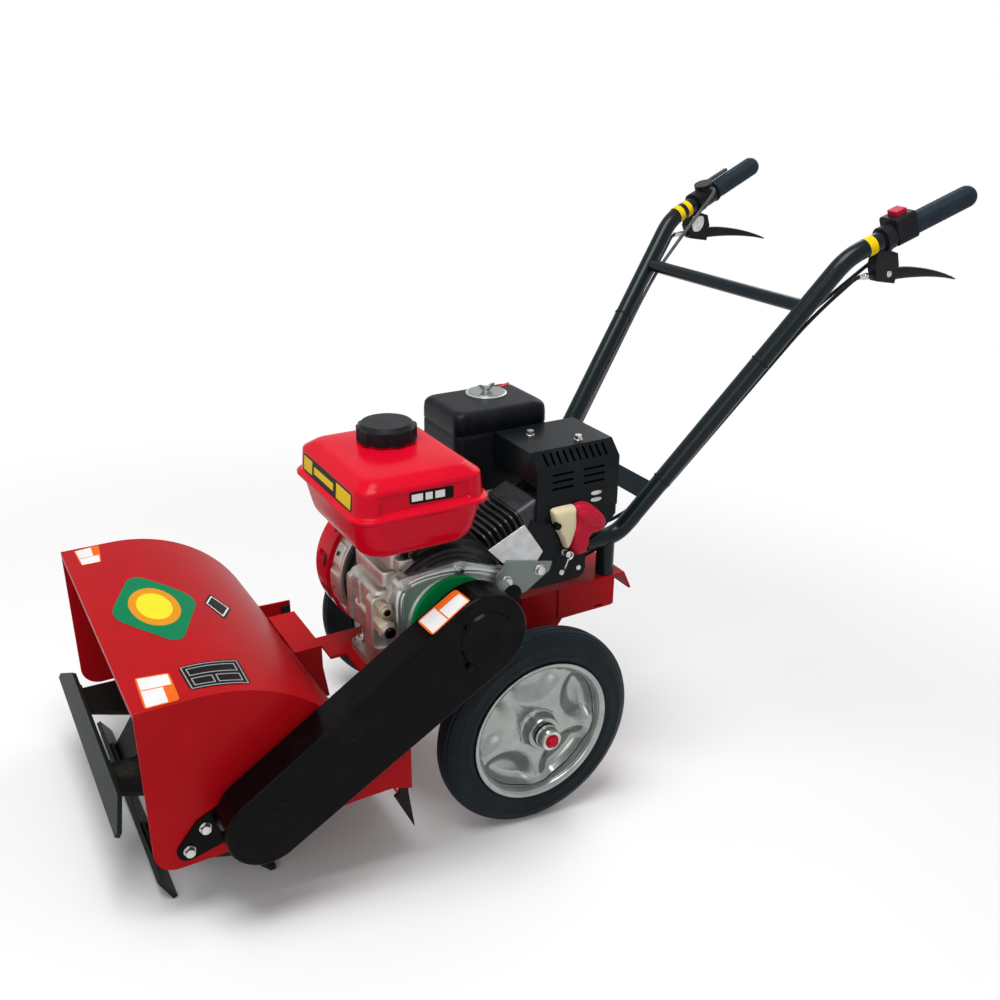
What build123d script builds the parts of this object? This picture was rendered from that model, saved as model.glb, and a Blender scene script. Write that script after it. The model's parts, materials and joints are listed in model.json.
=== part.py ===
from build123d import *
import os
from math import asin, atan2, cos, degrees, hypot, pi, radians, sin, sqrt, tan

# A two-wheeled power weeder: a four-stroke engine on a welded bed drives a six-bar reel under a
# hood, through a belt in a long guard on the left. Two handle tubes reach back to the grips.
#
# Model frame: millimetres, +X forward, +Y to the machine's left, +Z up, origin on the ground
# under the middle of the whole machine.
# Chassis frame: the machine drawn level, X from the axle, Y from the frame's middle plane,
# Z from the underside of the wheels. The parked machine is nose down by the pitch that sets two
# of the reel's bars on the ground.

# ---------------------------------------------------------------- driving sizes
fit = 0.1  # radial clearance of a shaft in its bore
seat = 0.3  # gap between curved faces that rest on each other

# wheels and axle
wheel_radius = 150
tyre_width = 46
tyre_middle = 211  # middle plane of a tyre, from the frame's middle plane
tyre_gap = 5.7  # between a tyre and the engine's case
rim_radius = 106
rim_well_radius = 97
rim_sheet = 2.5
hub_radius = 16
hub_outer_end = 256
hub_inner_end = 186
collar_radius = 26
collar_place = 235
axle_radius = 10
axle_over = 3  # how far the axle stands out of the hub
carrier_place = 112
carrier_thickness = 8
star_arms = 5
star_rise = 6  # of the pressed star over the wheel's middle plane
star_depth = 11
star_hollow_radius = 42
star_hollow_place = 98
star_hub_gap = 6
star_turn = 20  # degrees
hub_nut_across = 54
hub_nut_height = 3

# reel
reel_x = 434.6
reel_z = 164
reel_radius = 130.4  # to the cutting edge of a bar
bar_count = 6
bar_width = 30.8
bar_thickness = 6
bar_length = 390
bar_lean = 24.7  # degrees that a bar leans in from the tangent
bar_point = 42  # length of the point cut on every second bar
bar_corner = 5
bar_nose = 7  # width left at the very end of a bar
reel_shaft_radius = 15
reel_sleeve_radius = 23
arm_place = 98
arm_thickness = 6
arm_root_width = 112
arm_tip_width = 62
tab_thickness = 5

# hood
hood_half_width = 231
hood_sheet = 3
hood_lip_x = 530
hood_top_z = 354.5
hood_arc_x = 460
hood_arc_radius = 203.5
hood_arc_sweep = 62.2  # degrees of the top's curve
hood_slope = 133
hood_lip_drop = 9
side_corner = 28  # radius of a side's front corner
side_foot_z = 130
side_foot_run = 50
side_step_x = 227
side_step_end = 278
side_step_z = 140
side_rear = 200
side_ear_top = 190
side_ear_foot = 130
tine_tip = (196, 62)
tine_thickness = 6

# final drive and bearing
drive_reel_radius = 44
drive_foot_radius = 36
bearing_radius = 40
bearing_depth = 14

# belt guard
guard_gap = 10  # from the hood's side to the guard
guard_depth = 46
guard_sheet = 2
guard_top_x = 120
guard_top_rise = 4  # over the crank
guard_top_radius = 58
guard_foot_x = 408
guard_foot_z = 190
guard_foot_radius = 50
guard_ear_x = 58
guard_ear_rise = 28  # over the crank
guard_ear_radius = 13
guard_boss_radius = 37
guard_boss_height = 4
guard_edge_round = 4
guard_spacer_radius = 30
boss_taper = 30  # degrees
disc_hub_radius = 20
strap_bolts = ((469, 179), (490, 153.5))  # bolts of the guard's strap on the hood's side
strap_radius = 14
strap_sheet = 3

# bed and handle base
bed_drop = 107  # from the crank to the top of the bed
bed_sheet = 4
bed_front = 240
bed_left = 150
bed_right = 4
bed_flange = 35
base_rise = 49  # over the bed
base_front = -29
base_rear = -191
base_half_width = 125
base_sheet = 4
base_lip = 32
base_strap_front = -90
base_strap_rear = -113
base_strap_sheet = 2
base_notch_x = -163
base_notch_width = 14
base_notch_height = 10
base_notch_depth = 8

# handles
tube_radius = 13.5
tube_wall = 2
handle_front_x = -143
handle_low_x = -202
handle_low_y = 110
handle_low_rise = 58  # over the handle base, as are the next four
handle_high_x = -512
handle_high_y = 200
handle_high_rise = 457
handle_end_x = -707.5
handle_end_y = 228
handle_end_rise = 532.6
crossbar_rise = 388
crossbar_radius = 10
strip_rise = 120
low_bend_radius = 42
high_bend_radius = 90
post_x = -182
strip_height = 30
strip_thickness = 4
grip_length = 118
grip_radius = 16
lever_overhang = 33.5  # of the lever's tip behind the end of the tube
lever_drop = 122
lever_width = 10
perch_x = -574  # middle of the lever's clamp
perch_length = 16
perch_wall = 5
perch_width = 15
perch_nose_x = 28  # how far the cable's ferrule stands ahead of the clamp
perch_nose_drop = 52
ferrule_radius = 4.5
switch_width = 38
switch_height = 40
switch_lift = 6
rocker_width = 20
rocker_height = 7
throttle_wall = 3.5
knob_radius = 15.5
knob_top = 24  # from the tube's centre to the top of the throttle's knob
throttle_reach = 58
cable_radius = 2.8
gland_x = -138  # mouth of the lever cables' glands on the handle base
gland_y = 84
gland_rise = 10
gland_radius = 5.5
wire_y = 46

# engine
crank_x = 127
case_radius = 88
case_right = 92
case_left = 193
cover_thickness = 12
sump_left = 176
sump_length = 150
foot_pitch_x = 162
foot_pitch_y = 76
foot_x = 107
foot_y = 96
foot_thickness = 12
foot_shoulder = 6
# filler and drain plugs at the front of the case: x, height over the crank, radius, left end
plug_table = ((214, 24, 7, 202), (216, 2, 9, 214))
top_boss_x = 20
top_boss_length = 96
top_boss_rise = 92
# bolts of the side cover: x, height over the crank
cover_bolts = ((191, 56), (115, 61), (48, 34), (75, -58), (150, -80), (193, -48))
cover_bolt_radius = 11
cover_boss = 3
cover_dome = 62
cover_rise = 7
cover_taper = 25
disc_radius = 58
disc_hub_length = 22
fan_right = 32
fan_radius = 93
shroud_depth = 42
shroud_radius = 100
starter_radius = 70
starter_depth = 34
vent_count = 12
vent_length = 14
vent_width = 9
vent_depth = 3
barrel_tilt = 25
barrel_y = 128
barrel_half = 41
barrel_start = 84
fin_pitch = 9
fin_thickness = 3
head_start = 152
head_end = 196
rocker_cover_depth = 14
tank_front = 267
tank_rear = 87
tank_left = 250
tank_right = 31
tank_seam_rise = 169  # over the crank
tank_crown = 45  # from the seam to the top
tank_well = 59  # from the seam to the floor
tank_shoulder = 13  # height of the sloped shoulder round the top
tank_flange = 6
tank_neck = 4
cap_x = 168
cap_y = 115
cap_radius = 38
cap_height = 22
cap_scallop = 9
cap_scallops = 10
tank_corner = 20
tank_wall_taper = 5  # degrees
tank_shoulder_taper = 52
panel_depth = 10.5
stay_length = 120
stay_width = 90
stay_sheet = 3
stay_leg_back = 20
stay_leg_front = 50
muffler_front = -18
muffler_rear = -150
muffler_left = 175
muffler_right = 58
muffler_rise = 177  # over the crank
muffler_chamfer = 20
muffler_height = 92
muffler_height_far = 43
cleaner_front = 37
cleaner_rear = -111
cleaner_left = 53
cleaner_right = -58
cleaner_rise = 207  # over the crank
cleaner_height = 119
cleaner_shoulder = 12

# muffler's slots, shell and fittings
slot_count = 10
slot_pitch = 10.5
slot_width = 4
slot_length = 19
louvre_length = 34
louvre_width = 3.5
louvre_pitch = 10
louvre_spacing = 50
muffler_gap = 24  # from the shell to the guard's top
shell_gap = 8
muffler_waist_x = -60
guard_studs = ((-55, 95), (-103, 142))
stud_radius = 6
outlet_x = -114
outlet_rise = 19
outlet_radius = 8
muffler_pipe_x = -42
muffler_pipe_radius = 13

# air cleaner and carburettor
cleaner_corner = 14
nut_place = (-50, -20)
nut_disc_radius = 28
nut_disc_height = 3
throat_x = -24
throat_right = 57
throat_drop = 26
throat_radius = 15
bowl_length = 50
bowl_width = 44
bowl_height = 64

# spark plug, guard bracket, label and heat shield
head_back_x = -64
head_back_z = 439
insulator_width = 18
cap_overlap = 2
bracket_sheet = 3
spacer_radius = 8
label_sheet = 1.5
shield_front = -32
shield_rear = -121
shield_left = 150
shield_foot = 100
shield_height = 76
shield_waist = 60
shield_sheet = 3

# ---------------------------------------------------------------- heights over the ground
crank_z = wheel_radius + sqrt((wheel_radius + tyre_gap + case_radius) ** 2 - crank_x ** 2)
bed_top = crank_z - bed_drop
base_top = bed_top + base_rise
tank_seam_z = crank_z + tank_seam_rise
tank_top_z = tank_seam_z + tank_crown
tank_floor_z = tank_seam_z - tank_well
muffler_top = crank_z + muffler_rise
muffler_floor = muffler_top - muffler_height
muffler_floor_far = muffler_top - muffler_height_far
cleaner_top = crank_z + cleaner_rise
cleaner_floor = cleaner_top - cleaner_height
guard_top_z = crank_z + guard_top_rise
guard_ear = (guard_ear_x, crank_z + guard_ear_rise)
guard_back = hood_half_width + guard_gap
handle_front = (handle_front_x, handle_low_y, base_top + handle_low_rise)
handle_low = (handle_low_x, handle_low_y, base_top + handle_low_rise)
handle_high = (handle_high_x, handle_high_y, base_top + handle_high_rise)
handle_end = (handle_end_x, handle_end_y, base_top + handle_end_rise)
crossbar_z = base_top + crossbar_rise
strip_z = base_top + strip_rise
lever_tip = (handle_end_x - lever_overhang, handle_end[2] - lever_drop)

# ---------------------------------------------------------------- stance
lean = radians(bar_lean)
heel_radius = hypot(reel_radius - bar_width * sin(lean), bar_width * cos(lean))
heel_lead = degrees(atan2(bar_width * cos(lean), reel_radius - bar_width * sin(lean)))
bar_step = 360 / bar_count
free_gap = radians(bar_step - heel_lead)
stand_angle = atan2(reel_radius - heel_radius * cos(free_gap), heel_radius * sin(free_gap))
stand_height = reel_radius * cos(stand_angle)
first_bar = degrees(stand_angle) - 90  # angle of the first bar's edge, from +X towards +Z

reel_arm = hypot(reel_x, reel_z - wheel_radius)
pitch = asin((wheel_radius - stand_height) / reel_arm) + atan2(reel_z - wheel_radius, reel_x)


def parked(x, z):
    """How far ahead of the axle a chassis point stands when the machine is parked."""
    return x * cos(pitch) + (z - wheel_radius) * sin(pitch)


bar_edges = [
    (radius, first_bar + lead + bar_step * step)
    for radius, lead in ((reel_radius, 0), (heel_radius, heel_lead))
    for step in range(bar_count)
]
reel_reach = max(radius * cos(radians(angle)) for radius, angle in bar_edges)
front_reach = max(parked(reel_x, reel_z) + reel_reach, parked(hood_lip_x, hood_top_z))
rear_reach = -min(parked(*lever_tip), parked(handle_end[0], handle_end[2]) - grip_radius)
left_reach = guard_back + guard_depth + guard_boss_height
right_reach = hub_outer_end + axle_over
axle_x = (rear_reach - front_reach) / 2
middle_y = (right_reach - left_reach) / 2

forward = Vector(cos(pitch), 0, -sin(pitch))
upward = Vector(sin(pitch), 0, cos(pitch))
axle_centre = Vector(axle_x, middle_y, wheel_radius)
chassis = Plane(origin=axle_centre - upward * wheel_radius, x_dir=forward, z_dir=upward)


def spot(x, y, z):
    """Model point of a chassis point."""
    return chassis.from_local_coords(Vector(x, y, z))


def across(y):
    """Side plane at y: local x forward, local y up, facing right."""
    return Plane(origin=spot(0, y, 0), x_dir=forward, z_dir=(0, -1, 0))


def facing(x):
    """Cross plane at x: local x to the left, local y up, facing forward."""
    return Plane(origin=spot(x, 0, 0), x_dir=(0, 1, 0), z_dir=forward)


def level(z):
    """Level plane at z: local x forward, local y to the left, facing up."""
    return chassis.offset(z)


def finish(piece, name):
    """Label a finished piece and write it."""
    piece.part.label = name
    export_step(piece.part, f"parts/{name}.step")


os.makedirs("parts", exist_ok=True)
sides = (("left", 1), ("right", -1))

# ---------------------------------------------------------------- axle and wheels
carrier_outline = [(-108, bed_top - bed_sheet), (20, bed_top - bed_sheet), (26, 140), (-26, 140)]

with BuildPart() as axle_beam:
    half_axle = hub_outer_end + axle_over
    with BuildSketch(across(half_axle)):
        with Locations((0, wheel_radius)):
            Circle(axle_radius)
    extrude(amount=2 * half_axle)
    for place in (carrier_place, -carrier_place):
        with BuildSketch(across(place + carrier_thickness / 2)):
            with BuildLine():
                Polyline(*carrier_outline, close=True)
            make_face()
        extrude(amount=carrier_thickness)
    for side, sign in sides:
        collar_start = hub_inner_end - 0.5 if sign > 0 else 8 - hub_inner_end + 0.5
        with BuildSketch(across(collar_start)):
            with Locations((0, wheel_radius)):
                Circle(hub_radius)
        extrude(amount=8)
finish(axle_beam, "axle_beam")

wheel_axis = Axis(axle_centre, (0, 1, 0))
spin_plane = Plane(origin=axle_centre, x_dir=(0, 1, 0), z_dir=(1, 0, 0))
half_tyre = tyre_width / 2
bead_half = 17
bead_radius = rim_well_radius + rim_sheet + seat

flange = bead_half + seat
rim_section = [
    (-flange, rim_well_radius + rim_sheet),
    (-flange, rim_radius),
    (-half_tyre, rim_radius),
    (-half_tyre, rim_radius - rim_sheet),
    (-flange - rim_sheet, rim_radius - rim_sheet),
    (-flange - rim_sheet, rim_well_radius),
    (flange + rim_sheet, rim_well_radius),
    (flange + rim_sheet, rim_radius - rim_sheet),
    (half_tyre, rim_radius - rim_sheet),
    (half_tyre, rim_radius),
    (flange, rim_radius),
    (flange, rim_well_radius + rim_sheet),
]

for side, sign in sides:
    middle = sign * tyre_middle
    with BuildPart() as tyre:
        with BuildSketch(spin_plane):
            with BuildLine():
                shoulder = (half_tyre - 7, wheel_radius - 4)
                Polyline((middle - bead_half, bead_radius), (middle + bead_half, bead_radius))
                Line((middle + bead_half, bead_radius), (middle + bead_half, rim_radius))
                ThreePointArc((middle + bead_half, rim_radius),
                              (middle + half_tyre, (rim_radius + wheel_radius) / 2),
                              (middle + shoulder[0], shoulder[1]))
                ThreePointArc((middle + shoulder[0], shoulder[1]),
                              (middle, wheel_radius),
                              (middle - shoulder[0], shoulder[1]))
                ThreePointArc((middle - shoulder[0], shoulder[1]),
                              (middle - half_tyre, (rim_radius + wheel_radius) / 2),
                              (middle - bead_half, rim_radius))
                Line((middle - bead_half, rim_radius), (middle - bead_half, bead_radius))
            make_face()
        revolve(axis=wheel_axis)
    finish(tyre, f"tyre_{side}")

    with BuildPart() as rim:
        with BuildSketch(spin_plane):
            with BuildLine():
                Polyline(*[(middle + sign * place, radius) for place, radius in rim_section], close=True)
            make_face()
            with BuildLine():
                Polyline(
                    (middle + sign * 8, rim_well_radius),
                    (middle - sign * 4, 84),
                    (middle + sign * 3, 34),
                    (middle + sign * 3, hub_radius - 1),
                    (middle + sign * (3 - rim_sheet), hub_radius - 1),
                    (middle + sign * (3 - rim_sheet), 34),
                    (middle - sign * (4 + rim_sheet), 84),
                    (middle + sign * (8 - rim_sheet), rim_well_radius),
                    close=True,
                )
            make_face()
            hub_place = (hub_inner_end + hub_outer_end) / 2
            with Locations((sign * hub_place, (axle_radius + fit + hub_radius) / 2)):
                Rectangle(hub_outer_end - hub_inner_end, hub_radius - axle_radius - fit)
            with Locations((sign * collar_place, (hub_radius + collar_radius) / 2)):
                Rectangle(5, collar_radius - hub_radius + 0.5)
        revolve(axis=wheel_axis)
        with BuildSketch(across(middle + star_rise if sign > 0 else middle - star_rise + star_depth)):
            with Locations((0, wheel_radius)):
                Circle(rim_well_radius - star_hub_gap)
                Circle(hub_radius - 1, mode=Mode.SUBTRACT)
                with PolarLocations(star_hollow_place, star_arms, start_angle=star_turn):
                    Circle(star_hollow_radius, mode=Mode.SUBTRACT)
        extrude(amount=star_depth)
        with BuildSketch(across(middle + sign * star_rise)):
            with Locations((0, wheel_radius)):
                RegularPolygon(hub_nut_across / 2, 6, major_radius=False)
                Circle(hub_radius - 1, mode=Mode.SUBTRACT)
        extrude(amount=-sign * hub_nut_height)
    finish(rim, f"wheel_rim_{side}")

# ---------------------------------------------------------------- reel
reel_centre = spot(reel_x, 0, reel_z)
reel_left = hood_half_width - hood_sheet
case_face = bar_length / 2 + 6
bearing_face = hood_half_width - hood_sheet - bearing_depth


def reel_plane(y, angle):
    """Side plane through the reel's axis at y, its local x turned up by angle."""
    heading = Vector(cos(radians(angle)), 0, sin(radians(angle)))
    return Plane(origin=reel_centre + Vector(0, y, 0), x_dir=heading, z_dir=(0, -1, 0))


edge_x = reel_radius * cos(lean)  # distance of a bar's outer face from the axis
edge_y = -reel_radius * sin(lean)  # place of its cutting edge along that face
bar_middle = degrees(atan2(edge_y + bar_width / 2, edge_x - bar_thickness))

with BuildPart() as reel_bars:
    for step in range(bar_count):
        turn = first_bar + bar_lean + bar_step * step
        heading = Vector(cos(radians(turn)), 0, sin(radians(turn)))
        cut = bar_point if step % 2 else bar_corner
        with BuildSketch(Plane(origin=reel_centre + heading * edge_x, x_dir=(0, 1, 0), z_dir=heading)):
            with BuildLine():
                Polyline(
                    (-bar_length / 2, edge_y), (bar_length / 2, edge_y),
                    (bar_length / 2, edge_y + bar_nose), (bar_length / 2 - cut, edge_y + bar_width),
                    (cut - bar_length / 2, edge_y + bar_width), (-bar_length / 2, edge_y + bar_nose),
                    close=True,
                )
            make_face()
        extrude(amount=-bar_thickness)
finish(reel_bars, "reel_bars")

with BuildPart() as reel_shaft:
    with BuildSketch(reel_plane(reel_left - 4, 0)):
        Circle(reel_shaft_radius)
    extrude(amount=2 * reel_left - 8)
    with BuildSketch(reel_plane(bar_length / 2 - 20, 0)):
        Circle(reel_sleeve_radius)
    extrude(amount=bar_length - 40)
    for step in range(bar_count):
        turn = first_bar + bar_lean + bar_step * step
        arm_turn = turn + bar_middle
        arm_heading = Vector(cos(radians(arm_turn)), 0, sin(radians(arm_turn)))
        arm_end = (edge_x - bar_thickness - tab_thickness) / cos(radians(bar_middle))
        arm_normal = Vector(0, 1, 0).cross(arm_heading)
        for place in (arm_place, -arm_place):
            with BuildSketch(Plane(origin=reel_centre, x_dir=(0, 1, 0), z_dir=arm_normal)):
                with BuildLine():
                    Polyline(
                        (place - arm_root_width / 2, reel_sleeve_radius - 4),
                        (place + arm_root_width / 2, reel_sleeve_radius - 4),
                        (place + arm_tip_width / 2, arm_end),
                        (place - arm_tip_width / 2, arm_end),
                        close=True,
                    )
                make_face()
            extrude(amount=arm_thickness / 2, both=True)
            with BuildSketch(reel_plane(place + arm_tip_width / 2, turn)):
                with Locations((edge_x - bar_thickness - tab_thickness / 2, edge_y + bar_width / 2)):
                    Rectangle(tab_thickness, bar_width - 8)
            extrude(amount=arm_tip_width)
finish(reel_shaft, "reel_shaft")

# ---------------------------------------------------------------- hood
hood_arc_z = hood_top_z - hood_arc_radius
slope_heading = Vector(-cos(radians(hood_arc_sweep)), -sin(radians(hood_arc_sweep)))


def hood_curve(radius, front_x, slope_length):
    """Hood profile at a radius of its arc: flat top, arc and rear slope."""
    top = hood_arc_z + radius
    flat = Line((front_x, top), (hood_arc_x, top))
    bend = CenterArc((hood_arc_x, hood_arc_z), radius, 90, hood_arc_sweep)
    slope = Line(bend @ 1, bend @ 1 + slope_heading * slope_length)
    return flat @ 0, slope @ 1


hood_inner = hood_half_width - hood_sheet
with BuildPart() as hood_top:
    with BuildSketch(across(hood_inner)):
        with BuildLine():
            outer_front, outer_end = hood_curve(hood_arc_radius, hood_lip_x, hood_slope)
            inner_radius = hood_arc_radius - hood_sheet
            inner_front, inner_end = hood_curve(inner_radius, hood_lip_x - hood_sheet, hood_slope)
            Line(outer_end, inner_end)
            Polyline(
                outer_front,
                outer_front - Vector(0, hood_lip_drop),
                outer_front - Vector(hood_sheet, hood_lip_drop),
                inner_front,
            )
        make_face()
    extrude(amount=2 * hood_inner)
finish(hood_top, "hood_top")

for side, sign in sides:
    outer = hood_half_width if sign > 0 else hood_sheet - hood_half_width
    with BuildPart() as hood_side:
        with BuildSketch(across(outer)):
            with BuildLine():
                front, ear = hood_curve(hood_arc_radius, hood_lip_x, hood_slope - 72)
                Polyline(
                    ear, ear - Vector(seat, 0), (side_rear, side_ear_top), (side_rear, side_ear_foot),
                    (side_step_x, side_step_z), (side_step_end, side_step_z),
                    (hood_lip_x - side_corner - side_foot_run, side_foot_z),
                    (hood_lip_x - side_corner, side_foot_z),
                )
                RadiusArc((hood_lip_x - side_corner, side_foot_z),
                          (hood_lip_x, side_foot_z + side_corner), -side_corner)
                Line((hood_lip_x, side_foot_z + side_corner), front)
            make_face()
        extrude(amount=hood_sheet)
    finish(hood_side, f"hood_side_{side}")

tine_outline = [
    (side_rear + 2, side_ear_top - 6), (side_rear + 16, side_ear_top - 6),
    (side_rear + 16, side_ear_foot - 3), (side_rear + 23, side_ear_foot - 10),
    tine_tip, (side_rear + 4, side_ear_foot - 6),
]
for side, sign in sides:
    inner = hood_half_width - hood_sheet
    place = inner if sign > 0 else tine_thickness - inner
    with BuildPart() as rear_tine:
        with BuildSketch(across(place)):
            with BuildLine():
                Polyline(*tine_outline, close=True)
            make_face()
        extrude(amount=tine_thickness)
    finish(rear_tine, f"rear_tine_{side}")

# ---------------------------------------------------------------- final drive and belt guard
with BuildPart() as final_drive:
    with BuildSketch(across(hood_half_width - hood_sheet)):
        with Locations((reel_x, reel_z)):
            Circle(drive_reel_radius)
        with Locations((guard_foot_x, guard_foot_z)):
            Circle(drive_foot_radius)
        with Locations(strap_bolts[1]):
            Circle(strap_radius)
        make_hull()
    extrude(amount=hood_half_width - hood_sheet - case_face)
    with BuildSketch(across(reel_left - 3)):
        with Locations((reel_x, reel_z)):
            Circle(reel_shaft_radius + fit)
    extrude(amount=reel_left, mode=Mode.SUBTRACT)
finish(final_drive, "final_drive")

with BuildPart() as reel_bearing:
    with BuildSketch(across(-bearing_face)):
        with Locations((reel_x, reel_z)):
            Circle(bearing_radius)
            Circle(reel_shaft_radius + fit, mode=Mode.SUBTRACT)
    extrude(amount=bearing_depth)
finish(reel_bearing, "reel_bearing")


def guard_sketch(inset):
    """Outline of the belt guard, drawn in by inset, on the current sketch plane."""
    with BuildSketch(mode=Mode.PRIVATE) as outline:
        with Locations((guard_top_x, guard_top_z)):
            Circle(guard_top_radius - inset)
        with Locations((guard_foot_x, guard_foot_z)):
            Circle(guard_foot_radius - inset)
        make_hull()
    return outline.sketch


guard_face = guard_back + guard_depth
with BuildPart() as belt_guard:
    with BuildSketch(across(guard_face)):
        add(guard_sketch(0))
    extrude(amount=guard_depth - guard_sheet)
    fillet(belt_guard.faces().sort_by(Axis.Y)[-1].edges(), guard_edge_round)
    with BuildSketch(across(guard_face - guard_sheet)):
        add(guard_sketch(guard_sheet))
    extrude(amount=guard_depth, mode=Mode.SUBTRACT)
    with BuildSketch(across(guard_face)):
        with Locations((guard_top_x, guard_top_z)):
            Circle(guard_boss_radius)
    extrude(amount=-guard_boss_height, taper=boss_taper)
finish(belt_guard, "belt_guard")

with BuildPart() as guard_back_plate:
    with BuildSketch(across(guard_back + guard_sheet)):
        add(guard_sketch(0))
        with Locations(guard_ear):
            Circle(guard_ear_radius)
        with Locations((crank_x, crank_z)):
            Circle(disc_hub_radius + 2, mode=Mode.SUBTRACT)
    extrude(amount=guard_sheet)
    with BuildSketch(across(guard_back)):
        with Locations((guard_foot_x, guard_foot_z)):
            Circle(guard_spacer_radius)
    extrude(amount=guard_back - hood_half_width)
    with BuildSketch(across(hood_half_width + strap_sheet)):
        with Locations((guard_foot_x, guard_foot_z)):
            Circle(guard_spacer_radius)
        with Locations(*strap_bolts):
            Circle(strap_radius)
        make_hull()
    extrude(amount=strap_sheet)
finish(guard_back_plate, "guard_back_plate")

# ---------------------------------------------------------------- bed, neck and handle base
with BuildPart() as engine_bed:
    with BuildSketch(level(bed_top)):
        with BuildLine():
            Polyline(
                (bed_front, bed_right), (bed_front, 62), (bed_front - 22, 62), (bed_front - 22, bed_left),
                (-20, bed_left), (-20, 121), (base_rear, 121), (base_rear, -121), (-20, -121),
                (-20, bed_right), close=True,
            )
        make_face()
    extrude(amount=-bed_sheet)
    for start, end in ((bed_right, bed_right + bed_sheet), (bed_left - bed_sheet, bed_left)):
        with BuildSketch(across(end)):
            with BuildLine():
                Polyline(
                    (26, bed_top - bed_sheet), (bed_front - 22, bed_top - bed_sheet),
                    (bed_front - 22, bed_top - bed_flange), (60, bed_top - bed_flange), close=True,
                )
            make_face()
        extrude(amount=end - start)
finish(engine_bed, "engine_bed")

neck_right = -85
neck_left = 28
with BuildPart() as neck:
    with BuildSketch(across(neck_left)):
        with BuildLine():
            slope_start = Vector(hood_arc_x, hood_arc_z) + slope_heading.rotate(Axis.Z, -90) * (
                hood_arc_radius + seat)
            slope_end = slope_start + slope_heading * 90
            Polyline(
                slope_start, slope_end, slope_end - Vector(5, 0), (bed_front, bed_top - bed_flange),
                (bed_front, bed_top), slope_start + Vector(0, bed_top - slope_start.Y), close=True,
            )
        make_face()
    extrude(amount=neck_left - neck_right)
    with BuildSketch(across(neck_left - bed_sheet)):
        with BuildLine():
            Polyline(
                (0, 0), (hood_arc_x, 0), (hood_arc_x, bed_top - bed_sheet), (0, bed_top - bed_sheet),
                close=True,
            )
        make_face()
    extrude(amount=neck_left - neck_right - 2 * bed_sheet, mode=Mode.SUBTRACT)
    with BuildSketch(across(hood_half_width)):
        with Locations((hood_arc_x, hood_arc_z)):
            Circle(hood_arc_radius + seat)
    extrude(amount=2 * hood_half_width, mode=Mode.SUBTRACT)
finish(neck, "neck")

with BuildPart() as handle_base:
    with BuildSketch(across(base_half_width)):
        with BuildLine():
            lip_end = (base_rear - base_lip, base_top - 30)
            Polyline(
                (base_front, bed_top), (base_front, base_top), (base_rear - base_lip + 14, base_top),
                lip_end, (lip_end[0] + base_sheet, lip_end[1]),
                (base_rear - base_lip + 16, base_top - base_sheet),
                (base_rear, base_top - base_sheet), (base_rear, bed_top), close=True,
            )
        make_face()
    extrude(amount=2 * base_half_width)
    with BuildSketch(across(base_half_width - base_sheet)):
        with BuildLine():
            Polyline(
                (base_front - base_sheet, bed_top), (base_front - base_sheet, base_top - base_sheet),
                (base_rear + base_sheet, base_top - base_sheet), (base_rear + base_sheet, bed_top),
                close=True,
            )
        make_face()
    extrude(amount=2 * (base_half_width - base_sheet), mode=Mode.SUBTRACT)
    for side, sign in sides:
        with BuildSketch(across(sign * base_half_width)):
            with BuildLine():
                Polyline(
                    (base_strap_front, bed_top), (base_strap_front, base_top),
                    (base_strap_rear, base_top), (base_strap_rear, bed_top), close=True,
                )
            make_face()
        extrude(amount=-sign * base_strap_sheet)
        with BuildSketch(across(sign * base_half_width + base_notch_depth)):
            with Locations((base_notch_x, bed_top)):
                Rectangle(base_notch_width, base_notch_height)
        extrude(amount=2 * base_notch_depth, mode=Mode.SUBTRACT)
        gland_mouth = spot(gland_x, sign * gland_y, base_top + gland_rise)
        cable_end = spot(gland_x - 30, sign * (gland_y + 2), base_top + gland_rise + 15)
        with BuildSketch(Plane(origin=gland_mouth, z_dir=gland_mouth - cable_end)):
            Circle(gland_radius)
        extrude(amount=gland_rise + 10)
finish(handle_base, "handle_base")

# ---------------------------------------------------------------- handles


def handle_points(sign):
    """Corner points of one handle's centre line."""
    return [spot(x, sign * y, z) for x, y, z in (handle_front, handle_low, handle_high, handle_end)]


def handle_at(height):
    """Centre of the left handle's long run at a height: x and y."""
    share = (height - handle_low[2]) / (handle_high[2] - handle_low[2])
    x = handle_low[0] + share * (handle_high[0] - handle_low[0])
    y = handle_low[1] + share * (handle_high[1] - handle_low[1])
    return x, y


def handle_rod(sign, radius, bore=0):
    """Round rod or tube along a whole handle, also used to cut the seats of what it carries."""
    with BuildPart() as rod:
        with BuildLine() as route:
            FilletPolyline(*handle_points(sign), radius=(low_bend_radius, high_bend_radius))
        with BuildSketch(Plane(origin=route.line @ 0, x_dir=(0, 1, 0), z_dir=route.line % 0)):
            Circle(radius)
            if bore:
                Circle(bore, mode=Mode.SUBTRACT)
        sweep()
    return rod.part


seat_rods = {sign: handle_rod(sign, tube_radius + 0.15) for side, sign in sides}

for side, sign in sides:
    with BuildPart() as handle_tube:
        add(handle_rod(sign, tube_radius, tube_radius - tube_wall))
    finish(handle_tube, f"handle_tube_{side}")

    with BuildPart() as grip:
        high, end = spot(handle_high[0], sign * handle_high[1], handle_high[2]), spot(
            handle_end[0], sign * handle_end[1], handle_end[2])
        along = (end - high).normalized()
        with BuildSketch(Plane(origin=end - along * (grip_length - grip_radius), z_dir=along)):
            Circle(grip_radius)
        extrude(amount=grip_length - grip_radius)
        with Locations(Plane(origin=end, z_dir=along)):
            Sphere(grip_radius)
        add(seat_rods[sign], mode=Mode.SUBTRACT)
    finish(grip, f"grip_{side}")

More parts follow.
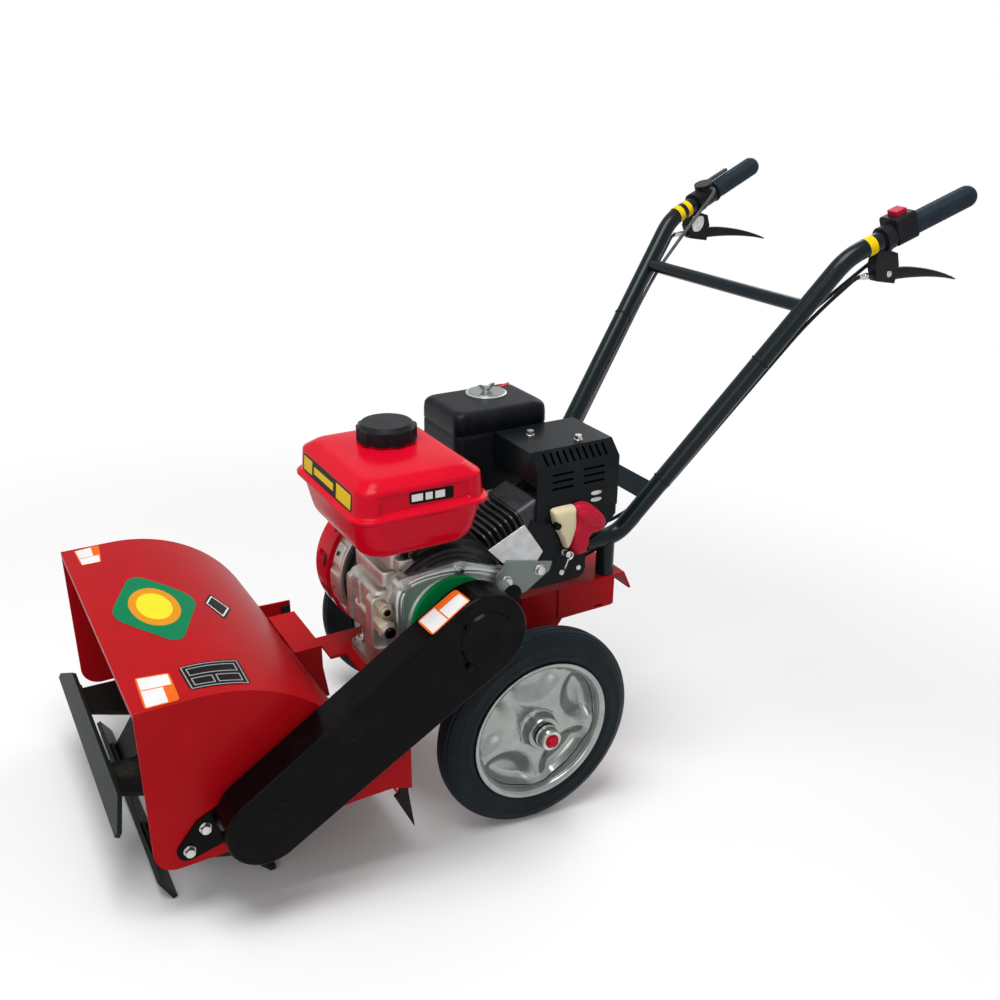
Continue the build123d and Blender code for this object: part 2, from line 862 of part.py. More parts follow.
with BuildPart() as handle_posts:
    for side, sign in sides:
        with BuildSketch(level(base_top)):
            with Locations((post_x, sign * handle_low[1])):
                Circle(tube_radius)
        extrude(amount=handle_low[2] - base_top)
        add(seat_rods[sign], mode=Mode.SUBTRACT)
finish(handle_posts, "handle_posts")

with BuildPart() as crossbar:
    bar_x, bar_y = handle_at(crossbar_z)
    with BuildSketch(across(bar_y)):
        with Locations((bar_x, crossbar_z)):
            Circle(crossbar_radius)
    extrude(amount=2 * bar_y)
    for side, sign in sides:
        add(seat_rods[sign], mode=Mode.SUBTRACT)
finish(crossbar, "crossbar")

with BuildPart() as lower_strip:
    strip_x, strip_y = handle_at(strip_z)
    tilt = degrees(atan2(handle_low[0] - handle_high[0], handle_high[2] - handle_low[2]))
    with BuildSketch(across(strip_y)):
        with Locations((strip_x, strip_z)):
            Rectangle(strip_thickness, strip_height, rotation=tilt)
    extrude(amount=2 * strip_y)
    for side, sign in sides:
        add(seat_rods[sign], mode=Mode.SUBTRACT)
finish(lower_strip, "lower_strip")



def grip_run(sign, distance):
    """Plane across a handle's grip run at a distance behind its upper bend, facing the grip."""
    high = spot(handle_high[0], sign * handle_high[1], handle_high[2])
    end = spot(handle_end[0], sign * handle_end[1], handle_end[2])
    heading = (end - high).normalized()
    return Plane(origin=high + heading * distance, x_dir=upward.cross(heading), z_dir=heading)


def on_grip_run(x):
    """Centre of the left handle's grip run at x: y and z."""
    share = (x - handle_high[0]) / (handle_end[0] - handle_high[0])
    y = handle_high[1] + share * (handle_end[1] - handle_high[1])
    return y, handle_high[2] + share * (handle_end[2] - handle_high[2])


perch_y, perch_z = on_grip_run(perch_x)
perch_distance = (handle_high[0] - perch_x) / abs((grip_run(1, 0).z_dir).dot(forward))
perch_end = perch_distance + perch_length / 2
grip_start = hypot(*(b - a for a, b in zip(handle_high, handle_end))) - grip_length + grip_radius

for side, sign in sides:
    with BuildPart() as perch:
        with BuildSketch(grip_run(sign, perch_distance)):
            Circle(tube_radius + perch_wall)
        extrude(amount=perch_length / 2, both=True)
        with BuildSketch(across(sign * perch_y + perch_width / 2)):
            with BuildLine():
                Polyline(
                    (perch_x + 16, perch_z - 4), (perch_x + 22, perch_z - 38), (perch_x + 12, perch_z - 60),
                    (perch_x - 24, perch_z - 66), (perch_x - 28, perch_z - 40), (perch_x - 22, perch_z - 22),
                    (perch_x - 2, perch_z - 16), close=True,
                )
            make_face()
        extrude(amount=perch_width)
        with BuildSketch(grip_run(sign, perch_distance)):
            Circle(tube_radius + seat)
        extrude(amount=3 * perch_length, both=True, mode=Mode.SUBTRACT)
        cable_mouth = (perch_x + perch_nose_x, perch_z - perch_nose_drop)
        with BuildSketch(facing(cable_mouth[0])):
            with Locations((sign * perch_y, cable_mouth[1])):
                Circle(ferrule_radius)
        extrude(amount=-perch_nose_x)
    finish(perch, f"lever_perch_{side}")

    pivot = (perch_x - 28, perch_z - 44)
    with BuildPart() as lever:
        with BuildSketch(across(sign * perch_y + lever_width / 2)):
            with BuildLine():
                ThreePointArc((pivot[0], pivot[1]), (pivot[0] - 60, pivot[1] - 6), lever_tip)
                ThreePointArc(lever_tip, (pivot[0] - 78, pivot[1] - 26), (pivot[0] + 3, pivot[1] - 22))
                Line((pivot[0] + 3, pivot[1] - 22), (pivot[0], pivot[1]))
            make_face()
        extrude(amount=lever_width)
        add(perch.part, mode=Mode.SUBTRACT)
    finish(lever, f"hand_lever_{side}")

switch_length = grip_start - perch_end - 2 * seat
with BuildPart() as switch_block:
    with BuildSketch(grip_run(1, perch_end + seat)):
        with Locations((0, switch_lift)):
            RectangleRounded(switch_width, switch_height, 6)
    extrude(amount=switch_length)
    with BuildSketch(grip_run(1, perch_end + seat)):
        Circle(tube_radius + seat)
    extrude(amount=switch_length, mode=Mode.SUBTRACT)
finish(switch_block, "switch_block")

switch_top = switch_lift + switch_height / 2
with BuildPart() as kill_switch:
    with BuildSketch(grip_run(1, perch_end + seat + switch_length / 4)):
        with Locations((0, switch_top + rocker_height / 2)):
            Rectangle(rocker_width, rocker_height)
    extrude(amount=switch_length / 2)
finish(kill_switch, "kill_switch")

knob_plane = grip_run(-1, perch_end + seat + knob_radius)
with BuildPart() as throttle_control:
    with BuildSketch(grip_run(-1, perch_end + seat)):
        Circle(tube_radius + throttle_wall)
    extrude(amount=2 * knob_radius - 4)
    knob_seat = Plane(origin=knob_plane.origin, x_dir=knob_plane.z_dir, z_dir=knob_plane.y_dir)
    with BuildSketch(knob_seat):
        Circle(knob_radius)
    extrude(amount=knob_top)
    with BuildSketch(knob_seat.offset(knob_top - 3)):
        with Locations((throttle_reach / 2, 0)):
            SlotCenterToCenter(throttle_reach, 8)
    extrude(amount=3)
    with BuildSketch(grip_run(-1, perch_end + seat)):
        Circle(tube_radius + seat)
    extrude(amount=2 * knob_radius, mode=Mode.SUBTRACT)
finish(throttle_control, "throttle_control")

# ---------------------------------------------------------------- engine: block
with BuildPart() as crankcase:
    with BuildSketch(level(bed_top)):
        with Locations((foot_x, foot_y)):
            RectangleRounded(foot_pitch_x + 34, foot_pitch_y + 26, 12)
    extrude(amount=foot_thickness)
    with BuildSketch(across(case_left)):
        with Locations((crank_x, crank_z)):
            Circle(case_radius)
    extrude(amount=case_left - case_right)
    with BuildSketch(across(sump_left)):
        with Locations((crank_x - 10, (crank_z + bed_top) / 2)):
            Rectangle(sump_length, crank_z - bed_top)
    extrude(amount=sump_left - case_right)
    with BuildSketch(across(case_right)):
        with Locations((crank_x, crank_z)):
            Circle(case_radius - 12)
        with Locations((crank_x - 10, (crank_z + bed_top) / 2)):
            Rectangle(120, crank_z - bed_top)
    extrude(amount=case_right - foot_y + foot_pitch_y / 2 + foot_shoulder)
    for x, rise, radius, left in plug_table:
        with BuildSketch(across(left)):
            with Locations((x, crank_z + rise)):
                Circle(radius)
        extrude(amount=left - case_right - 30)
    with BuildSketch(level(crank_z + top_boss_rise)):
        with Locations((crank_x + top_boss_x, (case_left + case_right) / 2)):
            RectangleRounded(top_boss_length, 60, 8)
    extrude(amount=-top_boss_rise)
finish(crankcase, "crankcase")

with BuildPart() as side_cover:
    with BuildSketch(across(case_left + cover_thickness)):
        for x, rise in cover_bolts:
            with Locations((x, crank_z + rise)):
                Circle(cover_bolt_radius)
        make_hull()
    extrude(amount=cover_thickness)
    with BuildSketch(across(case_left + cover_thickness)):
        for x, rise in cover_bolts:
            with Locations((x, crank_z + rise)):
                Circle(cover_bolt_radius - 3)
    extrude(amount=-cover_boss)
    with BuildSketch(across(case_left + cover_thickness)):
        with Locations((crank_x, crank_z - 6)):
            Circle(cover_dome)
    extrude(amount=-cover_rise, taper=cover_taper)
finish(side_cover, "side_cover")

disc_right = case_left + cover_thickness + cover_rise
disc_left = guard_back - disc_hub_length
with BuildPart() as drive_disc:
    with BuildSketch(across(disc_left)):
        with Locations((crank_x + 2, crank_z)):
            Circle(disc_radius)
    extrude(amount=disc_left - disc_right)
    with BuildSketch(across(guard_back)):
        with Locations((crank_x, crank_z)):
            Circle(disc_hub_radius)
    extrude(amount=disc_hub_length)
finish(drive_disc, "drive_disc")

fan_plane_left = foot_y - foot_pitch_y / 2 - foot_shoulder
with BuildPart() as fan_housing:
    with BuildSketch(across(fan_plane_left)):
        with Locations((crank_x, crank_z)):
            Circle(fan_radius)
    extrude(amount=fan_plane_left - fan_right)
finish(fan_housing, "fan_housing")

with BuildPart() as recoil_shroud:
    with BuildSketch(across(fan_right)):
        with Locations((crank_x, crank_z)):
            Circle(shroud_radius)
    extrude(amount=shroud_depth)
    with BuildSketch(across(fan_right - shroud_depth)):
        with Locations((crank_x, crank_z)):
            Circle(starter_radius)
    extrude(amount=starter_depth, taper=12)
    fan_centre = spot(crank_x, fan_right - shroud_depth / 2, crank_z)
    for number in range(vent_count):
        angle = radians(360 / vent_count * (number + 0.5))
        outward = forward * cos(angle) + upward * sin(angle)
        with BuildSketch(Plane(origin=fan_centre + outward * shroud_radius, x_dir=(0, 1, 0), z_dir=outward)):
            SlotCenterToCenter(vent_length, vent_width)
        extrude(amount=-vent_depth, mode=Mode.SUBTRACT)
    with BuildSketch(across(fan_right - shroud_depth - starter_depth)):
        with Locations((crank_x, crank_z)):
            with PolarLocations((starter_radius - 14) / 2 + 8, vent_count // 2):
                SlotCenterToCenter(vent_length, vent_width)
    extrude(amount=-vent_depth, mode=Mode.SUBTRACT)
finish(recoil_shroud, "recoil_shroud")

tilt_up = radians(barrel_tilt)
barrel_heading = -forward * cos(tilt_up) + upward * sin(tilt_up)


def barrel_plane(distance):
    """Plane across the cylinder at a distance from the crank, local x to the left."""
    origin = spot(crank_x, barrel_y, crank_z) + barrel_heading * distance
    return Plane(origin=origin, x_dir=(0, 1, 0), z_dir=barrel_heading)


with BuildPart() as cylinder:
    with BuildSketch(barrel_plane(barrel_start - 20)):
        Circle(barrel_half - 9)
    extrude(amount=head_start - barrel_start + 20)
    fin_count = int((head_start - barrel_start) / fin_pitch)
    for number in range(fin_count):
        with BuildSketch(barrel_plane(head_start - fin_thickness - number * fin_pitch)):
            RectangleRounded(2 * barrel_half, 2 * barrel_half, 8)
        extrude(amount=fin_thickness)
    with BuildSketch(across(case_left)):
        with Locations((crank_x, crank_z)):
            Circle(case_radius + seat)
    extrude(amount=case_left - case_right, mode=Mode.SUBTRACT)
    with BuildSketch(across(sump_left)):
        with Locations((crank_x - 10, (crank_z + bed_top) / 2)):
            Rectangle(sump_length + 2 * seat, crank_z - bed_top)
    extrude(amount=sump_left - case_right, mode=Mode.SUBTRACT)
finish(cylinder, "cylinder")

with BuildPart() as cylinder_head:
    with BuildSketch(barrel_plane(head_start)):
        RectangleRounded(2 * barrel_half + 4, 2 * barrel_half + 4, 8)
    extrude(amount=head_end - head_start - rocker_cover_depth)
    with BuildSketch(barrel_plane(head_end - rocker_cover_depth)):
        RectangleRounded(2 * barrel_half - 10, 2 * barrel_half - 10, 12)
    extrude(amount=rocker_cover_depth, taper=8)
finish(cylinder_head, "cylinder_head")

# ---------------------------------------------------------------- engine: tank, muffler, air cleaner
tank_middle = ((tank_front + tank_rear) / 2, (tank_left + tank_right) / 2)
tank_length = tank_front - tank_rear
tank_width = tank_left - tank_right

crown_length = tank_length - 2 * tank_flange
crown_width = tank_width - 2 * tank_flange
crown_wall = tank_crown - tank_shoulder - 2
wall_shrink = crown_wall * tan(radians(tank_wall_taper))

with BuildPart() as fuel_tank:
    with BuildSketch(level(tank_seam_z + 2)):
        with Locations(tank_middle):
            RectangleRounded(crown_length, crown_width, tank_corner)
    extrude(amount=crown_wall, taper=tank_wall_taper)
    with BuildSketch(level(tank_top_z - tank_shoulder)):
        with Locations(tank_middle):
            RectangleRounded(
                crown_length - 2 * wall_shrink, crown_width - 2 * wall_shrink, tank_corner - wall_shrink)
    extrude(amount=tank_shoulder, taper=tank_shoulder_taper)
    with BuildSketch(level(tank_seam_z - 2)):
        with Locations(tank_middle):
            RectangleRounded(crown_length, crown_width, tank_corner)
    extrude(amount=2 - tank_well, taper=9)
    with BuildSketch(level(tank_seam_z - 2)):
        with Locations(tank_middle):
            RectangleRounded(tank_length, tank_width, tank_corner + tank_flange)
    extrude(amount=4)
    with BuildSketch(level(tank_top_z)):
        with Locations((cap_x, cap_y)):
            Circle(cap_radius - 4)
    extrude(amount=tank_neck)
    panel_z = tank_seam_z + 2 + crown_wall / 2
    for outer, inner in ((tank_left, tank_left - panel_depth), (tank_right, tank_right + panel_depth)):
        with BuildSketch(across(max(outer, inner))):
            with Locations((tank_middle[0], panel_z)):
                RectangleRounded(crown_length - 2 * tank_corner - 8, crown_wall - 8, 5)
        extrude(amount=panel_depth, mode=Mode.SUBTRACT)
finish(fuel_tank, "fuel_tank")

with BuildPart() as tank_cap:
    with BuildSketch(level(tank_top_z + tank_neck)):
        with Locations((cap_x, cap_y)):
            Circle(cap_radius)
            with PolarLocations(cap_radius + cap_scallop - 2, cap_scallops):
                Circle(cap_scallop, mode=Mode.SUBTRACT)
    extrude(amount=cap_height - 5)
    with BuildSketch(level(tank_top_z + tank_neck + cap_height - 5)):
        with Locations((cap_x, cap_y)):
            Circle(cap_radius - 2.5)
    extrude(amount=5, taper=40)
finish(tank_cap, "tank_cap")

with BuildPart() as tank_stay:
    with BuildSketch(level(tank_floor_z)):
        with Locations((crank_x + top_boss_x, (case_left + case_right) / 2)):
            Rectangle(stay_length, stay_width)
    extrude(amount=-stay_sheet)
    for place in (crank_x - stay_leg_back, crank_x + stay_leg_front):
        with BuildSketch(level(tank_floor_z - stay_sheet)):
            with Locations((place, (case_left + case_right) / 2)):
                Rectangle(6, stay_width - 10)
        extrude(amount=-60)
    add(crankcase.part, mode=Mode.SUBTRACT)
finish(tank_stay, "tank_stay")

muffler_outline = [
    (muffler_right, muffler_floor_far),
    (muffler_right, muffler_top),
    (muffler_left - muffler_chamfer, muffler_top),
    (muffler_left, muffler_top - muffler_chamfer),
    (muffler_left, muffler_floor),
]
muffler_length = muffler_front - muffler_rear
muffler_middle = (muffler_front + muffler_rear) / 2
chamfer_middle = spot(muffler_front, muffler_left - muffler_chamfer / 2, muffler_top - muffler_chamfer / 2)
chamfer_plane = Plane(origin=chamfer_middle, x_dir=forward, z_dir=upward + Vector(0, 1, 0))

with BuildPart() as muffler_guard:
    with BuildSketch(facing(muffler_front)):
        with BuildLine():
            Polyline(*muffler_outline)
            offset(amount=guard_sheet, side=Side.RIGHT)
        make_face()
    extrude(amount=-muffler_length)
    with BuildSketch(facing(muffler_rear)):
        with BuildLine():
            Polyline(*muffler_outline, close=True)
        make_face()
    extrude(amount=guard_sheet)
    with BuildSketch(facing(muffler_front)):
        with BuildLine():
            Polyline(
                *muffler_outline[1:4], (muffler_left, muffler_floor_far),
                (muffler_right, muffler_floor_far), close=True,
            )
        make_face()
    extrude(amount=-guard_sheet)
    with BuildSketch(chamfer_plane):
        with Locations((-muffler_length / 2, 0)):
            with GridLocations(slot_pitch, 1, slot_count, 1):
                Rectangle(slot_width, slot_length)
    extrude(amount=2 * guard_sheet, both=True, mode=Mode.SUBTRACT)
    louvre_rows = muffler_top - muffler_chamfer - louvre_pitch
    with BuildSketch(across(muffler_left + guard_sheet)):
        with Locations((muffler_middle, louvre_rows - louvre_pitch)):
            with GridLocations(louvre_spacing, louvre_pitch, 2, 3):
                Rectangle(louvre_length, louvre_width)
    extrude(amount=3 * guard_sheet, mode=Mode.SUBTRACT)
finish(muffler_guard, "muffler_guard")

muffler_crown = muffler_top - muffler_gap
with BuildPart() as muffler:
    with BuildSketch(across(muffler_left - shell_gap)):
        with BuildLine():
            Polyline(
                (muffler_front - shell_gap, muffler_crown),
                (muffler_front - shell_gap, muffler_floor_far - 2),
                (muffler_waist_x, muffler_floor_far - 2), (muffler_waist_x, muffler_floor + 9),
                (muffler_rear + shell_gap, muffler_floor + 9), (muffler_rear + shell_gap, muffler_crown),
                close=True,
            )
        make_face()
    extrude(amount=muffler_left - muffler_right - 2 * shell_gap)
    with BuildSketch(level(muffler_crown)):
        for x, y in guard_studs:
            with Locations((x, y)):
                Circle(stud_radius)
    extrude(amount=muffler_gap - guard_sheet)
    with BuildSketch(across(muffler_left - guard_sheet)):
        with Locations((outlet_x, muffler_floor + outlet_rise)):
            Circle(outlet_radius)
    extrude(amount=shell_gap - guard_sheet)
    with BuildSketch(level(muffler_floor_far - 2)):
        with Locations((muffler_pipe_x, barrel_y)):
            Circle(muffler_pipe_radius)
    extrude(amount=-24)
    add(cylinder_head.part, mode=Mode.SUBTRACT)
finish(muffler, "muffler")

cleaner_middle = ((cleaner_front + cleaner_rear) / 2, (cleaner_left + cleaner_right) / 2)
cleaner_size = (cleaner_front - cleaner_rear, cleaner_left - cleaner_right)
with BuildPart() as air_cleaner:
    with BuildSketch(level(cleaner_floor)):
        with Locations(cleaner_middle):
            RectangleRounded(*cleaner_size, cleaner_corner)
    extrude(amount=cleaner_height - cleaner_shoulder)
    with BuildSketch(level(cleaner_top - cleaner_shoulder)):
        with Locations(cleaner_middle):
            RectangleRounded(*cleaner_size, cleaner_corner)
    extrude(amount=cleaner_shoulder, taper=35)
finish(air_cleaner, "air_cleaner")

with BuildPart() as cleaner_nut:
    with BuildSketch(level(cleaner_top)):
        with Locations(nut_place):
            Circle(nut_disc_radius)
    extrude(amount=nut_disc_height, taper=30)
    with BuildSketch(level(cleaner_top + nut_disc_height)):
        with Locations(nut_place):
            Circle(6)
    extrude(amount=6)
    with BuildSketch(across(nut_place[1] + 1.5)):
        with BuildLine():
            nut_z = cleaner_top + nut_disc_height
            Polyline(
                (nut_place[0] - 14, nut_z + 10), (nut_place[0] - 5, nut_z), (nut_place[0] + 5, nut_z),
                (nut_place[0] + 14, nut_z + 10), (nut_place[0] + 8, nut_z + 10), (nut_place[0], nut_z + 5),
                (nut_place[0] - 8, nut_z + 10), close=True,
            )
        make_face()
    extrude(amount=3)
finish(cleaner_nut, "cleaner_nut")

with BuildPart() as carburettor:
    with BuildSketch(level(cleaner_floor)):
        with Locations((throat_x, throat_right - bowl_width / 2)):
            Rectangle(bowl_length, bowl_width)
    extrude(amount=-bowl_height / 2)
    with BuildSketch(level(cleaner_floor - bowl_height / 2)):
        with Locations((throat_x, throat_right - bowl_width / 2)):
            Circle(bowl_width / 2 - 1)
    extrude(amount=-bowl_height / 2)
    throat_left = barrel_y - barrel_half - 2
    with BuildSketch(across(throat_left)):
        with Locations((throat_x, cleaner_floor - throat_drop)):
            Circle(throat_radius)
    extrude(amount=throat_left - throat_right)
    add(cylinder_head.part, mode=Mode.SUBTRACT)
finish(carburettor, "carburettor")

# cream insulator and red rubber cap at the end of the cylinder head, drawn from the side
insulator_left = barrel_y + 36
with BuildPart() as spark_plug:
    with BuildSketch(across(insulator_left)):
        with BuildLine():
            Polyline(
                (head_back_x + 26, head_back_z + 10), (head_back_x - 24, head_back_z + 8),
                (head_back_x - 27, head_back_z - 24), (head_back_x - 15, head_back_z - 50),
                (head_back_x + 18, head_back_z - 14), close=True,
            )
        make_face()
    extrude(amount=insulator_width)
    add(cylinder_head.part, mode=Mode.SUBTRACT)
finish(spark_plug, "spark_plug")

with BuildPart() as plug_cap:
    with BuildSketch(across(insulator_left + cap_overlap)):
        with BuildLine():
            Polyline(
                (head_back_x - 24, head_back_z + 8), (head_back_x - 40, head_back_z + 9),
                (head_back_x - 68, head_back_z - 8), (head_back_x - 77, head_back_z - 27),
                (head_back_x - 67, head_back_z - 37), (head_back_x - 44, head_back_z - 39),
                (head_back_x - 36, head_back_z - 71), (head_back_x - 20, head_back_z - 66),
                (head_back_x - 15, head_back_z - 50), (head_back_x - 27, head_back_z - 24), close=True,
            )
        make_face()
    extrude(amount=insulator_width + 2 * cap_overlap)
    top_corners = plug_cap.edges().filter_by(Axis.Y).sort_by(Axis.X)[:4]
    fillet(top_corners, 4)
finish(plug_cap, "plug_cap")

bracket_y = case_left + cover_thickness + cover_rise
with BuildPart() as guard_bracket:
    with BuildSketch(across(bracket_y + bracket_sheet)):
        with BuildLine():
            ear_x, ear_z = guard_ear
            Polyline(
                (ear_x + 8, ear_z + 14), (ear_x - 9, ear_z + 32), (ear_x - 77, ear_z + 16),
                (ear_x - 73, ear_z + 4), (ear_x - 36, ear_z - 19), (ear_x + 8, ear_z - 14), close=True,
            )
        make_face()
    extrude(amount=bracket_sheet)
    with BuildSketch(across(guard_back)):
        with Locations(guard_ear):
            Circle(spacer_radius)
    extrude(amount=guard_back - bracket_y - bracket_sheet)
    with BuildSketch(across(bracket_y)):
        with Locations((cover_bolts[2][0], crank_z + cover_bolts[2][1])):
            Circle(spacer_radius)
    extrude(amount=bracket_y - case_left - cover_thickness - cover_boss)
finish(guard_bracket, "guard_bracket")

with BuildPart() as label_plate:
    with BuildSketch(across(bracket_y)):
        with BuildLine():
            Polyline(
                (ear_x + 18, ear_z + 53), (ear_x - 35, ear_z + 77), (ear_x - 64, ear_z + 33),
                (ear_x - 50, ear_z + 14), (ear_x - 9, ear_z + 24), close=True,
            )
        make_face()
    extrude(amount=label_sheet)
finish(label_plate, "label_plate")

# heat shield under the cylinder, on a foot that lies on the handle base
with BuildPart() as lower_shield:
    with BuildSketch(across(shield_left)):
        with BuildLine():
            Polyline(
                (shield_front, base_top), (shield_front, base_top + shield_waist),
                (shield_rear + 16, base_top + shield_waist), (shield_rear + 12, base_top + shield_height),
                (shield_rear + 6, base_top + shield_height), (shield_rear, base_top + shield_height - 8),
                (shield_rear, base_top + 40), (shield_rear + 16, base_top + 26),
                (shield_rear + 16, base_top), close=True,
            )
        make_face()
    extrude(amount=shield_sheet)
    with BuildSketch(level(base_top + shield_sheet)):
        with BuildLine():
            Polyline(
                (shield_front, shield_left), (shield_rear + 16, shield_left),
                (shield_rear + 16, shield_foot), (shield_front, shield_foot), close=True,
            )
        make_face()
    extrude(amount=-shield_sheet)
    with BuildSketch(across(shield_left)):
        with Locations((shield_rear + 11, base_top + 42)):
            SlotCenterToCenter(7, 6, rotation=65)
    extrude(amount=shield_sheet, mode=Mode.SUBTRACT)
finish(lower_shield, "lower_shield")

# ---------------------------------------------------------------- control cables


def beside_tube(sign, height, gap, turn):
    """Point at a height along a handle's long run, behind and under the tube, turned inboard."""
    x, y = handle_at(height)
    run = Vector(handle_high[0] - handle_low[0], 0, handle_high[2] - handle_low[2]).normalized()
    under = Vector(-run.Z, 0, run.X)
    reach = tube_radius + cable_radius + gap
    inboard = reach * sin(radians(turn))
    behind = reach * cos(radians(turn))
    return spot(x + under.X * behind, sign * (y - inboard), height + under.Z * behind)


def beside_grip(sign, distance, inboard, rise):
    """Point beside a handle's grip run, at a distance behind its upper bend."""
    return grip_run(sign, distance).from_local_coords(Vector(sign * inboard, rise, 0))


def cable(name, places):
    """Round cable through places, its corners as wide as its runs allow."""
    runs = [b - a for a, b in zip(places, places[1:])]
    radii = [
        0.45 * min(a.length, b.length) / tan(radians(a.get_angle(b)) / 2) for a, b in zip(runs, runs[1:])
    ]
    with BuildPart() as made:
        with BuildLine() as route:
            FilletPolyline(*places, radius=radii)
        with BuildSketch(Plane(origin=places[0], z_dir=runs[0])):
            Circle(cable_radius)
        sweep()
    length = route.wires()[0].length
    share = made.part.volume / (pi * cable_radius ** 2 * length)
    print(name, "length", round(length), "radii", [round(r) for r in radii], "volume share", round(share, 3))
    finish(made, name)


bend_z = handle_low[2]
for side, sign in sides:
    mouth_x, mouth_z = cable_mouth
    cable(f"lever_cable_{side}", [
        spot(mouth_x, sign * perch_y, mouth_z),
        spot(mouth_x + 20, sign * perch_y, mouth_z),
        beside_tube(sign, handle_high[2] - 52, 7, -12),
        beside_tube(sign, handle_high[2] - 92, 1.5, -12),
        beside_tube(sign, bend_z + 78, 1.5, 5),
        spot(handle_low[0] - 56, sign * (handle_low[1] - 1), bend_z + 36),
        spot(handle_low[0] - 38, sign * (handle_low[1] - 6), bend_z + 3),
        spot(handle_low[0] - 8, sign * (handle_low[1] - 18), bend_z - 22),
        spot(gland_x - 30, sign * (gland_y + 2), base_top + gland_rise + 15),
        spot(gland_x, sign * gland_y, base_top + gland_rise),
    ])

switch_start = perch_end + seat + 14
switch_foot = switch_height / 2 - switch_lift
cable("switch_wire", [
    beside_grip(1, switch_start, 12, -switch_foot),
    beside_grip(1, switch_start, 12, -switch_foot - 7),
    beside_grip(1, switch_start - 7, 13.5, -switch_foot - 13),
    beside_grip(1, switch_start - 20, 16, -switch_foot - 16),
    beside_grip(1, switch_start - 44, 15, -switch_foot - 18),
    beside_tube(1, handle_high[2] - 72, 4, 24),
    beside_tube(1, handle_high[2] - 118, 1, 24),
    beside_tube(1, bend_z + 44, 2, 60),
    spot(handle_low[0] - 8, handle_low[1] - 30, bend_z + 8),
    spot(handle_low[0] + 30, handle_low[1] - 44, bend_z - 4),
    spot(handle_low[0] + 90, wire_y + 8, bend_z - 16),
    spot(crank_x - fan_radius - 60, wire_y, crank_z - 8),
    spot(crank_x - fan_radius - 22, wire_y, crank_z),
    spot(crank_x - fan_radius, wire_y, crank_z),
])

throttle_start = perch_end + seat + knob_radius
bowl_back = throat_x - bowl_length / 2
bowl_y = throat_right - bowl_width / 2
cable("throttle_cable", [
    beside_grip(-1, throttle_start, knob_radius, knob_top - 8),
    beside_grip(-1, throttle_start, knob_radius + 8, knob_top - 8),
    beside_grip(-1, throttle_start - 9, knob_radius + 14, knob_top - 11),
    beside_grip(-1, throttle_start - 26, knob_radius + 15, knob_top - 17),
    beside_grip(-1, throttle_start - 54, knob_radius + 8, -10),
    beside_tube(-1, handle_high[2] - 64, 4, 24),
    beside_tube(-1, handle_high[2] - 112, 1, 24),
    beside_tube(-1, bend_z + 44, 2, 60),
    spot(handle_low[0] - 8, -handle_low[1] + 32, bend_z + 8),
    spot(handle_low[0] + 18, -handle_low[1] + 50, bend_z - 2),
    spot(bowl_back - 92, bowl_y - 50, cleaner_floor - 66),
    spot(bowl_back - 56, bowl_y - 14, cleaner_floor - 36),
    spot(bowl_back - 24, bowl_y, cleaner_floor - 20),
    spot(bowl_back, bowl_y, cleaner_floor - 20),
])
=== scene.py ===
import json
import math

import bmesh
import bpy
import numpy as np
from bpy.props import FloatProperty, FloatVectorProperty, PointerProperty
from mathutils import Matrix, Vector


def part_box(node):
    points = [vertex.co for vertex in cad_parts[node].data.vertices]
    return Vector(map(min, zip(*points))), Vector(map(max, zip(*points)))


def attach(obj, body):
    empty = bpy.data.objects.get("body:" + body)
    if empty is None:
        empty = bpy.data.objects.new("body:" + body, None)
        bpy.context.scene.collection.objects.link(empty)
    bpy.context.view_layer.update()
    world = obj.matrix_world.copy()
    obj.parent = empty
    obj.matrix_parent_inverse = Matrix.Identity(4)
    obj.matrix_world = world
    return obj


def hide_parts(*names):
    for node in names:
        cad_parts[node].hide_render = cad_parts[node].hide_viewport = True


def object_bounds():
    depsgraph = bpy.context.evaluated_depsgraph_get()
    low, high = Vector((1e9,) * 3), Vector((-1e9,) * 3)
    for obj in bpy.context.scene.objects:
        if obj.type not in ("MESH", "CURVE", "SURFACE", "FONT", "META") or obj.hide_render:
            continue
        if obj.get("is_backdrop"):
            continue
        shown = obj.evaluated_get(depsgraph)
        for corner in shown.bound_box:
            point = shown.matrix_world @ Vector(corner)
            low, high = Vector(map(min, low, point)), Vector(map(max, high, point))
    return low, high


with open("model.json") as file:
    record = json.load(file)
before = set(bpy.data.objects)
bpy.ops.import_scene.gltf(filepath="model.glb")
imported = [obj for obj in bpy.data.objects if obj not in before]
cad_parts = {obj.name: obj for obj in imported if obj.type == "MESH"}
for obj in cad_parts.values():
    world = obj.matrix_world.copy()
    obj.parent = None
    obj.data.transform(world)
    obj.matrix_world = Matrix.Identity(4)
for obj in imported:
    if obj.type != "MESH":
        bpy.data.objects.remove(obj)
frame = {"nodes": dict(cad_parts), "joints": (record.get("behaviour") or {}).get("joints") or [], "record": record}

bl_info = {
    "name": "Power Weeder",
    "version": (1, 0, 0),
    "blender": (4, 5, 0),
    "location": "View3D > Sidebar > Weeder",
    "description": "Finishes, small fittings and stage for a two-wheeled power weeder",
    "category": "Add Mesh",
}

